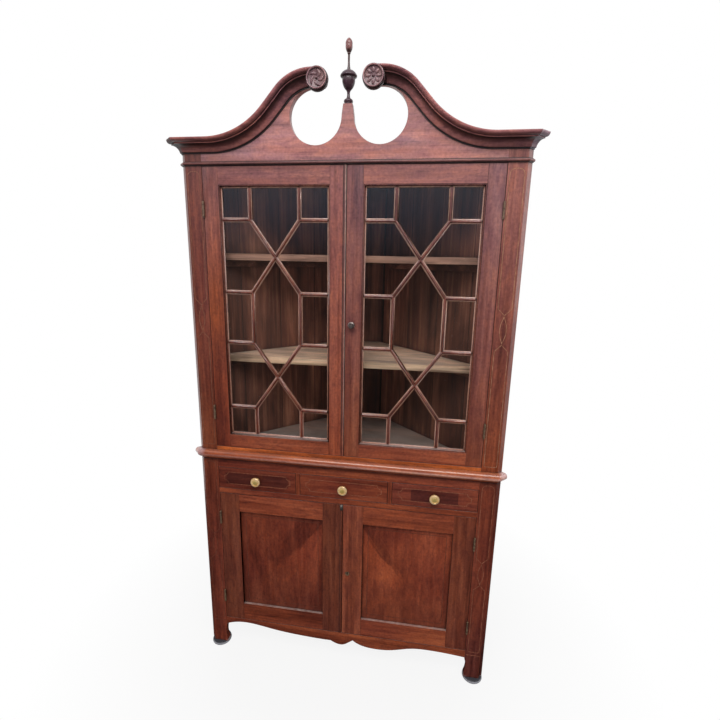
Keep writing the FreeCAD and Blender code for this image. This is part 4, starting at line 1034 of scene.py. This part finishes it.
def feather(inner_x, top, mirror, lowered, breadth):
    """The dark feather of a panel, which starts near the inner top corner and runs down and outwards.
    lowered is how far it has slipped towards the foot, and breadth says how far its dark side reaches."""
    shades = ((0.0, (1.0, 1.0, 1.0)), (0.28, (1.34, 1.38, 1.30)), (0.45, (1.42, 1.44, 1.26)),
              (0.51, (0.58, 0.56, 0.60)), (0.51 + 0.07 * breadth, (0.66, 0.64, 0.68)),
              (0.51 + 0.23 * breadth, (0.94, 0.93, 0.95)), (1.0, (1.0, 1.0, 1.0)))

    def over(tree, wood):
        out = product(tree, calc(tree, "SUBTRACT", coordinate(tree, "X"), inner_x), mirror)
        down = calc(tree, "SUBTRACT", top, coordinate(tree, "Z"))
        beside = calc(tree, "SUBTRACT", product(tree, out, math.cos(feather_slant)),
                      product(tree, down, math.sin(feather_slant)))
        waves = fibres(tree, grain_place(tree, mirror * feather_slant, 5.0), 24.0, 5.0, 4.0, 0.6)
        wavy = calc(tree, "MULTIPLY_ADD", calc(tree, "SUBTRACT", waves, 0.5), 0.15, beside)
        shade = ramp(tree, spread(tree, wavy, -feather_reach - lowered, feather_reach - lowered), shades)
        streaky = fibres(tree, grain_place(tree, upright_grain, 6.0), 60.0, 9.0, 3.0, 0.4)
        share = product(tree, spread(tree, down, 0.12, 0.32, 1.0, 0.0),
                        spread(tree, streaky, 0.35, 0.60, 0.55, 1.0))
        wood = tinted(tree, wood, shade, share)
        return tinted(tree, wood, (0.80, 0.86, 1.00), spread(tree, down, 0.22, 0.38))

    return over


def dress_panel(side, mirror, seed):
    panel = "lower_" + side + "_panel"
    low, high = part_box(panel)
    inner_x = low.x if side == "right" else high.x
    figure = feather(inner_x, high.z, mirror, *feather_shapes[side])
    veneer = mahogany_for(panel, seed, upright_grain, panel_tones[side], wander=1.2, over=figure,
                          waves=(9.0, 2.0), streaks=0.24, calm=0.35)
    eased(panel, "mahogany", veneer, None, 0)


print("feather slants", round(math.degrees(feather_slant)), "degrees")

# %% Dress the doors
for number, (side, mirror) in enumerate((("left", -1), ("right", 1))):
    dress_frame("upper_" + side)
    dress_frame("lower_" + side)
    dress_bars(side, 27.0 + number)
    dress_panel(side, mirror, 33.0 + number)
print("doors dressed", len(stile_tints))

# %% [markdown]
# ## Drawers
#
# The drawer fronts are faced with flat-grained veneer. The outer two have a darker, crossways leaf let
# into the middle, which is no more than a rectangle in the finish. The boxes behind them are plain
# boards. When a drawer is pulled out, its sides show, so they get the board finish, and the ends of the
# front show the dovetails that hold it to them.

# %% Let-in leaves
leaf_reach = {"left": (0.122, 0.0255), "right": (0.081, 0.0235)}
leaf_fade = {"left": 0.008, "right": 0.001}
leaf_tint = (0.52, 0.52, 0.68)


def let_in_leaf(side, middle):
    """A darker leaf of veneer around the middle of a drawer front."""
    def over(tree, wood):
        inside = 1.0
        for axis, centre, reach in zip("XZ", (middle.x, middle.z), leaf_reach[side]):
            off = off_middle(tree, axis, centre)
            inside = product(tree, inside, spread(tree, off, reach, reach - leaf_fade[side]))
        return tinted(tree, wood, leaf_tint, inside)

    return over


print("leaves in", len(leaf_reach), "drawers")

# %% Dovetails
tail_lap = 0.006
tail_pitch = 0.026
tail_half_front = 0.0098
tail_half_back = 0.0068
tail_colour = (0.42, 0.26, 0.17)
end_skin = 0.001


def dovetailed(low, high, leaf):
    """The pale tails of the drawer sides, let into the ends of a front. They widen towards the front."""
    middle = (low + high) / 2

    def over(tree, wood):
        if leaf:
            wood = leaf(tree, wood)
        end_reach = (high.x - low.x) / 2 - end_skin
        at_end = calc(tree, "GREATER_THAN", off_middle(tree, "X", middle.x), end_reach)
        behind_lap = calc(tree, "GREATER_THAN", coordinate(tree, "Y"), low.y + tail_lap)
        height = calc(tree, "SUBTRACT", coordinate(tree, "Z"), middle.z)
        off_tail = calc(tree, "PINGPONG", height, tail_pitch / 2)
        tail_half = along(tree, "Y", low.y + tail_lap, high.y, tail_half_front, tail_half_back)
        tail = product(tree, at_end, behind_lap, calc(tree, "LESS_THAN", off_tail, tail_half))
        return mix_colour(tree, tail, wood, tail_colour)

    return over


print("tails every", tail_pitch, "m")

# %% Drawer fronts and boxes
drawer_wood = {
    "left": Tone(0.10, 0.10, 0.00, 0.00, 0.85),
    "centre": Tone(0.25, 0.25, 0.00, 0.00, 0.95),
    "right": Tone(0.12, 0.12, 0.02, 0.02, 0.95),
}
for seed, (side, tone) in enumerate(drawer_wood.items()):
    node = side + "_drawer_front"
    low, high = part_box(node)
    leaf = None if side == "centre" else let_in_leaf(side, (low + high) / 2)
    wood = mahogany_for(node, 40.0 + seed, flat_grain, tone, wander=0.9, over=dovetailed(low, high, leaf))
    eased(node, "mahogany", wood, worn_edge)
    box_wood = board("board_" + side + "_drawer_box", 50.0 + seed, shelf_wood, flat_grain, dust=0.4)
    eased(side + "_drawer_box", "secondary_wood", box_wood, None, 0.0008)
print("drawers dressed", len(drawer_wood))

# %% [markdown]
# ## Walls, shelves and dust boards
#
# Seen through the glass, the walls are upright boards with open joints between them, stained dark, and
# the shelves are paler where use has rubbed the stain away. From behind, the same boards show their
# raw side.

# %% Planks and shelf tops
corner_low, corner_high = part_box("upper_corner_board")
planks_low, planks_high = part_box("upper_backboards")
board_half = 0.008
plank_thickness = 0.012
plank_slant = plank_thickness / math.sqrt(2)
wall_face = corner_low.y + corner_high.x
wall_start = planks_low.y + plank_slant - planks_high.x
wall_end = corner_low.y - corner_high.x
planks_per_wall = 4
plank_joint = 0.008
plank_shades = greys((0.0, 0.65), (1.0, 1.50))
weathered_tints = ((0.36, (0.42, 0.36, 0.34)), (0.48, (1.0, 1.0, 1.0)), (0.64, (1.35, 1.32, 1.25)))


def plank_tints(tree, wood):
    """No two planks of a wall have the same tone, and the joint between two of them is dark. A plank is
    told by how far along its wall it stands."""
    along_wall = calc(tree, "SUBTRACT", coordinate(tree, "Y"), off_middle(tree, "X"))
    spot = spread(tree, along_wall, wall_start, wall_end, 0.0, planks_per_wall - 0.001)
    wall = calc(tree, "SIGN", coordinate(tree, "X"))
    number = calc(tree, "MULTIPLY_ADD", wall, 10.0, calc(tree, "FLOOR", spot))
    chance = add_node(tree, "TexWhiteNoise", {"W": number}, noise_dimensions="1D").outputs["Value"]
    wood = tinted(tree, wood, ramp(tree, chance, plank_shades))
    joint = calc(tree, "LESS_THAN", calc(tree, "PINGPONG", spot, 0.5), plank_joint)
    return mix_colour(tree, joint, wood, dirt_and_shade_colour)


def shelf_tints(tree, wood):
    """The upper shelf has kept more of its stain, and so has the top of each shelf behind its front."""
    weathered = fibres(tree, grain_place(tree, flat_grain, 9.0), 70.0, 3.0, 5.0, 0.5)
    wood = tinted(tree, wood, ramp(tree, weathered, weathered_tints))
    wood = tinted(tree, wood, (0.56, 0.44, 0.46), along(tree, "Z", 1.30, 1.40))
    return tinted(tree, wood, (0.98, 0.86, 0.80), spread(tree, facing_up(tree), 0.5, 0.8))


print("planks from", round(wall_start, 3), "to", round(wall_end, 3))

# %% Boards of the case
wall_boards = ("lower_backboards", "upper_backboards", "lower_corner_board", "upper_corner_board")
flat_boards = {
    "lower_top_board": board_stain, "drawer_deck": board_stain, "lower_bottom_board": board_stain,
    "upper_bottom_board": board_stain, "upper_top_board": board_stain, "lower_shelf": shelf_wood,
    "upper_shelves": shelf_wood, "shelf_cleats": board_stain,
}
board_ease = 0.0012
stained_skin = 0.0005
for seed, node in enumerate(wall_boards):
    slanted = "backboards" in node
    raw_from = wall_face - board_half if slanted else corner_low.y + stained_skin
    wood = board("board_" + node, 60.0 + seed, board_stain, upright_grain, raw_from, slanted,
                 over=plank_tints if slanted else None)
    eased(node, "secondary_wood", wood, None, board_ease)
for seed, (node, stops) in enumerate(flat_boards.items()):
    over = shelf_tints if node == "upper_shelves" else None
    wood = board("board_" + node, 70.0 + seed, stops, flat_grain, dust=0.4, over=over)
    eased(node, "secondary_wood", wood, None, board_ease)
print("boards", len(wall_boards) + len(flat_boards))

# %% [markdown]
# ## Inlaid strings
#
# Thin strings of pale wood outline the drawers and panels and climb the stiles, where two lines cross,
# swell into an almond and cross again. A string is a groove filled with a strip and scraped nearly flush.
# Here each closed line starts as one flat face with a few corners. Bevelling single corners rounds them,
# and bevelling the inner corner of a square notch makes the hollow quarter-round of the drawers. An inset
# then leaves a narrow ring, which gets a little thickness.

# %% One string
string_width = 0.0019
string_thickness = 0.0008
string_proud = 0.0002


def pour_in(shape, part):
    """Adds a finished bmesh to a larger one. A bmesh takes in meshes only, so it goes by way of one."""
    mesh = bpy.data.meshes.new("part")
    part.to_mesh(mesh)
    part.free()
    shape.from_mesh(mesh)
    bpy.data.meshes.remove(mesh)


def string_line(strings, corners, depth, rounded=(), radius=0.0, hollow=True):
    """Adds one closed string to a bmesh. The corners are places on the front, some of them rounded."""
    line = bmesh.new()
    spots = [line.verts.new((x, depth + string_thickness - string_proud, z)) for x, z in corners]
    line.faces.new(spots)
    if rounded:
        bmesh.ops.bevel(line, geom=[spots[number] for number in rounded], offset=radius, offset_type="OFFSET",
                        segments=6, profile=0.5, affect="VERTICES", material=-1)
    if hollow:
        line.normal_update()
        bmesh.ops.inset_individual(line, faces=line.faces[:], thickness=string_width, use_even_offset=True)
        middle = max(line.faces, key=lambda face: face.calc_area())
        bmesh.ops.delete(line, geom=[middle], context="FACES_ONLY")
    raised = bmesh.ops.extrude_face_region(line, geom=line.faces[:])["geom"]
    raised_spots = [item for item in raised if isinstance(item, bmesh.types.BMVert)]
    bmesh.ops.translate(line, verts=raised_spots, vec=(0, -string_thickness, 0))
    bmesh.ops.recalc_face_normals(line, faces=line.faces[:])
    pour_in(strings, line)


print("string", string_width * 1000, "mm wide")

# %% String finish
string_stops = ((0.30, (0.150, 0.060, 0.034)), (0.50, (0.300, 0.135, 0.078)), (0.70, (0.420, 0.215, 0.130)))
string_ages = ((0.0, (0.80, 0.58, 0.54)), (1.0, (1.0, 1.0, 1.0)))


def string_inlay(name, tint):
    """Pale strip wood that has browned, more so low down and at the left, away from the window."""
    material, tree, shader = new_finish(name)
    grain = fibres(tree, object_place(tree), 300.0, 60.0, 3.0)
    wood = tinted(tree, ramp(tree, grain, string_stops), tint)
    wood = tinted(tree, wood, ramp(tree, along(tree, "Z", 0.80, 0.88), string_ages))
    wood = tinted(tree, wood, (0.60, 0.50, 0.50), along(tree, "X", -0.35, -0.47))
    feed(tree, shader.inputs["Base Color"], wood)
    feed(tree, shader.inputs["Roughness"], spread(tree, grain, 0.3, 0.7, 0.34, 0.5))
    settle(shader, {"Specular IOR Level": 0.30})
    return material


string_finish = string_inlay("string_inlay", (1, 1, 1))
panel_string = string_inlay("string_inlay_panel", (0.52, 0.44, 0.46))
print("finishes", string_finish.name, panel_string.name)

# %% Strings on the stiles
stile_lines = (
    {"middle": 0.4935, "half": 0.0215, "head": 1.790, "high": 1.368, "low": 1.279, "foot": 0.866,
     "swell": 0.016},
    {"middle": 0.4950, "half": 0.0210, "head": 0.800, "high": 0.499, "low": 0.413, "foot": 0.125,
     "swell": 0.015},
)
cuff_sides = (0.4690, 0.5190)
cuff_foot = 0.1105
cuff_head = 0.1130


def stile_strings(strings, middle, half, head, high, low, foot, swell):
    """Two panels with pointed ends, and between their points, at high and low, the almond."""
    left, right = middle - half, middle + half
    upper = ((middle, high), (right, high + half), (right, head), (left, head), (left, high + half))
    lower = ((middle, low), (left, low - half), (left, foot), (right, foot), (right, low - half))
    waist = (high + low) / 2
    almond = ((middle, high), (middle - swell, waist), (middle, low), (middle + swell, waist))
    string_line(strings, upper, front, (2, 3), half * 0.8)
    string_line(strings, lower, front, (2, 3), half * 0.3)
    string_line(strings, almond, front, (1, 3), swell * 1.6)


case_strings = bmesh.new()
for side in (-1, 1):
    for line in stile_lines:
        stile_strings(case_strings, **{**line, "middle": side * line["middle"]})
    near, far = [side * x for x in cuff_sides]
    cuff = ((near, cuff_foot), (far, cuff_foot), (far, cuff_head), (near, cuff_head))
    string_line(case_strings, cuff, front, hollow=False)
print("stile strings", len(case_strings.faces), "faces")
finish_piece(link_object("stile_strings", case_strings, string_finish), "case", "mahogany")

# %% Strings on drawers and panels
drawer_margin = 0.020
drawer_string_half = 0.024
drawer_notch = 0.015
panel_margin = 0.026
for side in drawer_wood:
    low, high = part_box(side + "_drawer_front")
    middle = (low.z + high.z) / 2
    outline = []
    for across, upwards in ((-1, -1), (1, -1), (1, 1), (-1, 1)):
        x = (low.x + drawer_margin) if across < 0 else (high.x - drawer_margin)
        z = middle + upwards * drawer_string_half
        inner_x = x - across * drawer_notch
        inner_z = z - upwards * drawer_notch
        notch = [(x, inner_z), (inner_x, inner_z), (inner_x, z)]
        outline += notch if across * upwards > 0 else reversed(notch)
    strings = bmesh.new()
    string_line(strings, outline, low.y, (1, 4, 7, 10), drawer_notch * 0.97)
    finish_piece(link_object(side + "_drawer_string", strings, string_finish), side + "_drawer", "mahogany")
for side in panel_tones:
    low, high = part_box("lower_" + side + "_panel")
    x0, x1 = low.x + panel_margin, high.x - panel_margin
    z0, z1 = low.z + panel_margin, high.z - panel_margin
    strings = bmesh.new()
    string_line(strings, ((x0, z0), (x1, z0), (x1, z1), (x0, z1)), low.y)
    piece = link_object("lower_" + side + "_panel_string", strings, panel_string)
    finish_piece(piece, "lower_" + side + "_door", "mahogany")
print("drawer and panel strings set")

# %% [markdown]
# ## Carved rosettes
#
# A rosette closes each scroll. The right one is a flower with eight petals, and the left one is carved as
# a swirl. A rim and a dished ground are turned by spinning a profile. Each petal is a ball pressed into
# an egg, and for the swirl every point of it is turned about the axis by more the further out it lies.
# The flower is built looking up and then tipped towards the viewer, on the place of the CAD discs.

# %% Petals and rims
rim_outline = ((0.0, 0.0), (1.0, 0.0), (1.0, 0.60), (0.98, 0.80), (0.93, 0.86), (0.87, 0.80), (0.83, 0.50),
               (0.80, 0.46), (0.0, 0.50))


def ball(shape, scale, place, turn=0.0):
    """A pressed ball, at a place out along X and turned about Z."""
    put = Matrix.Rotation(turn, 4, "Z") @ Matrix.Translation(place) @ Matrix.Diagonal((*scale, 1))
    return bmesh.ops.create_uvsphere(shape, u_segments=14, v_segments=8, radius=1.0, matrix=put)["verts"]


def rosette(shape, radius, height, petals, petal_half, swirl):
    spots = [shape.verts.new((radius * out, 0, height * up)) for out, up in rim_outline]
    edges = [shape.edges.new(pair) for pair in zip(spots, spots[1:])]
    bmesh.ops.spin(shape, geom=spots + edges, cent=(0, 0, 0), axis=(0, 0, 1), angle=math.tau, steps=48,
                   use_merge=True)
    for number in range(petals):
        egg = (radius * 0.26, radius * petal_half, height * 0.16)
        made = ball(shape, egg, (radius * 0.50, 0, height * 0.53), math.tau * number / petals)
        for spot in made:
            reach = spot.co.xy.length / radius
            spot.co.rotate(Matrix.Rotation(swirl * reach, 3, "Z"))
    ball(shape, (radius * 0.15, radius * 0.15, height * 0.34), (0, 0, height * 0.58))


print("rim of", len(rim_outline), "points")

# %% Carve and finish the rosettes
flowers = {-1: (5, 0.20, 1.9), 1: (8, 0.155, 0.0)}
flower_weld = 0.000001
# Painted shade in the hollow and at the edge, and a painted highlight on the rim.
face_highlight_and_shade = greys((0.70, 1.0), (0.78, 0.60), (0.83, 0.60), (0.86, 1.7), (0.95, 1.7), (0.985, 0.15))
rosette_tone = Tone(0.00, 0.00, 0.22, 0.22, 0.68, 1.0)


def grey_carving_with_painted_rim(tree, wood):
    """Painted shade darkens the hollow inside the rim and the turned edge of the disc, where grime lies too,
    a painted highlight brightens the rim, and the carved face has gone grey.
    """
    share = calc(tree, "DIVIDE", from_scroll(tree), scroll_radius)
    return tinted(tree, tinted(tree, wood, (0.64, 0.80, 0.93)), ramp(tree, share, face_highlight_and_shade))


carving = bmesh.new()
for side, petals in flowers.items():
    flower = bmesh.new()
    rosette(flower, scroll_radius, rosettes_high.y - rosettes_low.y, *petals)
    bmesh.ops.remove_doubles(flower, verts=flower.verts, dist=flower_weld)
    put = Matrix.Translation((side * scroll_x, rosettes_high.y, scroll_z))
    bmesh.ops.transform(flower, matrix=put @ Matrix.Rotation(math.radians(90), 4, "X"), verts=flower.verts)
    bmesh.ops.recalc_face_normals(flower, faces=flower.faces)
    pour_in(carving, flower)
wood = mahogany_for("rosettes", 82.0, upright_grain, rosette_tone, dust=0.1, over=grey_carving_with_painted_rim, grime=0.20)
print("rosettes", len(carving.faces), "faces")
carved = finish_piece(link_object("rosettes_carved", carving, wood), "case", "mahogany", "rosettes")
smooth_faces(carved, 40)

# %% [markdown]
# ## Hardware and finial that keep their CAD shape
#
# Knobs, hinges, lock and finial were turned and bored in CAD already, finely enough to stay as they are.
# They only need their finishes, which go straight into the material slots of their objects.

# %% Rubbed knobs
knob_gold = (1.0, 0.80, 0.50)
knob_brown = (0.80, 0.56, 0.26)
# Painted highlight around the rim, and painted shade at the outline.
rim_highlight_tints = ((0.30, (0.62, 0.60, 0.34)), (0.62, (1.0, 0.90, 0.72)), (0.86, (1.0, 0.96, 0.95)),
             (1.0, (0.55, 0.42, 0.3)))


def rubbed_highlight_rim(node):
    """A knob is painted pale peach around its rim, rubbed brass with a painted highlight, with a painted dark
    outline at its edge, and keeps a deeper gold in the middle.
    """
    low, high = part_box(node)
    middle = (low + high) / 2
    radius = (high.x - low.x) / 2

    def over(tree, colour):
        sideways = calc(tree, "SUBTRACT", coordinate(tree, "X"), middle.x)
        upwards = calc(tree, "SUBTRACT", coordinate(tree, "Z"), middle.z)
        out = length(tree, add_node(tree, "CombineXYZ", {0: sideways, 1: upwards}).outputs[0])
        return tinted(tree, colour, ramp(tree, calc(tree, "DIVIDE", out, radius), rim_highlight_tints))

    return over


for side in drawer_wood:
    node = side + "_drawer_knob"
    refinish(node, metal("brass_" + node, knob_gold, knob_brown, 0.52, 0.22, 0.36, 0.60, rubbed_highlight_rim(node)))
print("knobs", len(drawer_wood))

# %% Hinges, catch, lock and cups
for node in ("catch_knob", "catch_tongue"):
    refinish(node, dark_bronze)
for node in ("hinge_case_leaves", "hinge_pins", "lock_case", "lock_bolt", "lock_escutcheon"):
    refinish(node, dull_brass)
for door in stile_tints:
    refinish(door + "_door_hinges", dull_brass)
refinish("foot_cups", cup_finish)
print("hardware finished")

# %% Finial
spire_low, spire_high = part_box("finial_spire")
spire_bands = greys((0.0, 0.22), (0.60, 0.22), (0.67, 1.0), (0.92, 1.0), (1.0, 0.6))


def purple_urn(tree, wood):
    return tinted(tree, wood, (0.86, 0.92, 1.45))


def pale_bud(tree, wood):
    """The bud of the spire is paler than its stem and its calyx."""
    return tinted(tree, wood, ramp(tree, along(tree, "Z", spire_low.z, spire_high.z), spire_bands))


turned_wood = {
    "finial_urn": (Tone(0.00, 0.00, 0.05, 0.05, 0.16, 1.0), purple_urn),
    "finial_spire": (Tone(0.00, 0.00, 0.20, 0.20, 0.72, 1.0), pale_bud),
}
for seed, (node, (tone, over)) in enumerate(turned_wood.items()):
    refinish(node, mahogany_for(node, 80.0 + seed, upright_grain, tone, over=over, dust=0.1))
print("finial of", len(turned_wood), "pieces")

# %% [markdown]
# ## Plate on the lower bead
#
# A bent strip of grey metal caps the top of the bead between the lower doors, where a repair once
# strengthened it. It is an upright edge, spun part of a turn about the axis of the bead's round. A
# Solidify modifier gives the strip its thickness, and a low round rivet holds it.

# %% Bent plate
bead_middle = -0.00525
bead_sink = 0.001875
plate_radius = 0.0051
plate_height = 0.021
plate_thickness = 0.0004
plate_below_top = 0.001
plate_reach = math.acos(bead_sink / plate_radius)
plate_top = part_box("lower_left_door_frame")[1].z - plate_below_top
plate_foot = plate_top - plate_height
plate_axis = Vector((bead_middle, front + bead_sink, 0))
plate_side = plate_axis + Matrix.Rotation(-plate_reach, 3, "Z") @ Vector((0, -plate_radius, 0))
plate = bmesh.new()
ends = [plate.verts.new((plate_side.x, plate_side.y, z)) for z in (plate_foot, plate_top)]
bmesh.ops.spin(plate, geom=ends + [plate.edges.new(ends)], cent=plate_axis, axis=(0, 0, 1),
               angle=2 * plate_reach, steps=10)
bmesh.ops.recalc_face_normals(plate, faces=plate.faces)
bent_plate = link_object("lower_bead_plate", plate, dull_steel)
strip = bent_plate.modifiers.new("thickness", "SOLIDIFY")
strip.thickness = plate_thickness
strip.offset = 0.0
smooth_faces(bent_plate)
finish_piece(bent_plate, "lower_left_door", "brass")
print("plate", round(plate_top - plate_foot, 3), "m tall")

# %% Rivet
rivet_radius = 0.0014
rivet_height = plate_foot + 0.007
rivet = bmesh.new()
rivet_place = Matrix.Translation((bead_middle, plate_axis.y - plate_radius, rivet_height))
rivet_shape = Matrix.Rotation(math.radians(90), 4, "X") @ Matrix.Diagonal((1, 1, 0.5, 1))
bmesh.ops.create_uvsphere(rivet, u_segments=12, v_segments=6, radius=rivet_radius,
                          matrix=rivet_place @ rivet_shape)
rivet_head = finish_piece(link_object("lower_bead_rivet", rivet, dull_steel), "lower_left_door", "brass")
smooth_faces(rivet_head)
print("rivet at", round(rivet_height, 3))

# %% [markdown]
# ## Nails and screws
#
# The planks are nailed to the edges of the boards inside, two nails to a plank in every row. A head is a
# low cone, put on the outer face of the wall and turned to face away from it. The hinges are held by
# three screws to a leaf, and the lock by four. A screw head is a disc that two cuts divide into three
# strips: the middle strip is the slot, in darker metal.

# %% Nail heads on the walls
nailed_boards = ("lower_bottom_board", "lower_shelf", "drawer_deck", "upper_bottom_board", "upper_top_board")
nail_rows = [(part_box(node)[0].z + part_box(node)[1].z) / 2 for node in nailed_boards]
shelf_half = 0.009
shelves_low, shelves_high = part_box("upper_shelves")
nail_rows += [shelves_low.z + shelf_half, shelves_high.z - shelf_half]
nail_shares = (0.22, 0.78)
nail_radius = 0.0034
nail_flat = 0.0022
nail_height = 0.001
nails = bmesh.new()
for side in (-1, 1):
    turn = Matrix.Rotation(side * math.radians(45), 4, "Z") @ Matrix.Rotation(math.radians(-90), 4, "X")
    for row in nail_rows:
        for spot in [plank + share for plank in range(planks_per_wall) for share in nail_shares]:
            along_wall = wall_start + (wall_end - wall_start) * spot / planks_per_wall
            place = ((wall_face - along_wall) / 2 * side, (wall_face + along_wall) / 2, row)
            bmesh.ops.create_cone(nails, cap_ends=True, segments=8, radius1=nail_radius,
                                  radius2=nail_flat, depth=nail_height,
                                  matrix=Matrix.Translation(place) @ turn.inverted())
heads = finish_piece(link_object("wall_nails", nails, iron), "case", "brass")
print("nails", len(heads.data.polygons) // 10)

# %% One screw
screw_radius = 0.0030
screw_slot = 0.00045
screw_proud = 0.00008
slot_turn_per_metre = 40.0


def screw_head(shape, place, axis, degrees):
    """A slotted head at a place. A turn about an axis takes it from facing up to facing its own way."""
    head = bmesh.new()
    bmesh.ops.create_circle(head, cap_ends=True, segments=14, radius=screw_radius)
    for cut in (-screw_slot, screw_slot):
        bmesh.ops.bisect_plane(head, geom=head.verts[:] + head.edges[:] + head.faces[:], plane_co=(0, cut, 0),
                               plane_no=(0, 1, 0))
    for face in head.faces:
        face.material_index = 1 if abs(face.calc_center_median().y) < screw_slot else 0
    look = Matrix.Rotation(math.radians(degrees), 4, axis)
    slot_turn = Matrix.Rotation(place[2] * slot_turn_per_metre, 4, "Z")
    bmesh.ops.transform(head, matrix=Matrix.Translation(place) @ look @ slot_turn, verts=head.verts)
    pour_in(shape, head)


print("screws", 2000 * screw_radius, "mm wide")

# %% Screws in the hinges and the lock
leaf_faces = {"case": 0.46490, "door": 0.46460}
hinge_levels = {"upper": (0.992, 1.675), "lower": (0.231, 0.575)}
leaf_holes = ((-0.017, 0.0130), (0.0, 0.0075), (0.017, 0.0130))
lock_margin = 0.006
case_screws = bmesh.new()
for level, heights in hinge_levels.items():
    for side, mirror in (("left", -1), ("right", 1)):
        door_screws = bmesh.new()
        for height in heights:
            for step, depth in leaf_holes:
                on_case = mirror * (leaf_faces["case"] - screw_proud)
                on_door = mirror * (leaf_faces["door"] + screw_proud)
                screw_head(case_screws, (on_case, front + depth, height + step), "Y", -mirror * 90)
                screw_head(door_screws, (on_door, front + depth, height + step), "Y", mirror * 90)
        body = level + "_" + side + "_door"
        finish_piece(link_object(body + "_hinge_screws", door_screws, dull_steel, iron), body, "brass")
finish_piece(link_object("case_hinge_screws", case_screws, dull_steel, iron), "case", "brass")
low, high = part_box("lock_case")
lock_screws = bmesh.new()
for x in (low.x + lock_margin, high.x - lock_margin):
    for z in (low.z + lock_margin, high.z - lock_margin):
        screw_head(lock_screws, (x, high.y + screw_proud, z), "X", -90)
finish_piece(link_object("lock_screws", lock_screws, dull_steel, iron), "lower_right_door", "brass")
print("screws in", 2 * sum(len(heights) for heights in hinge_levels.values()), "pairs of leaves and the lock")
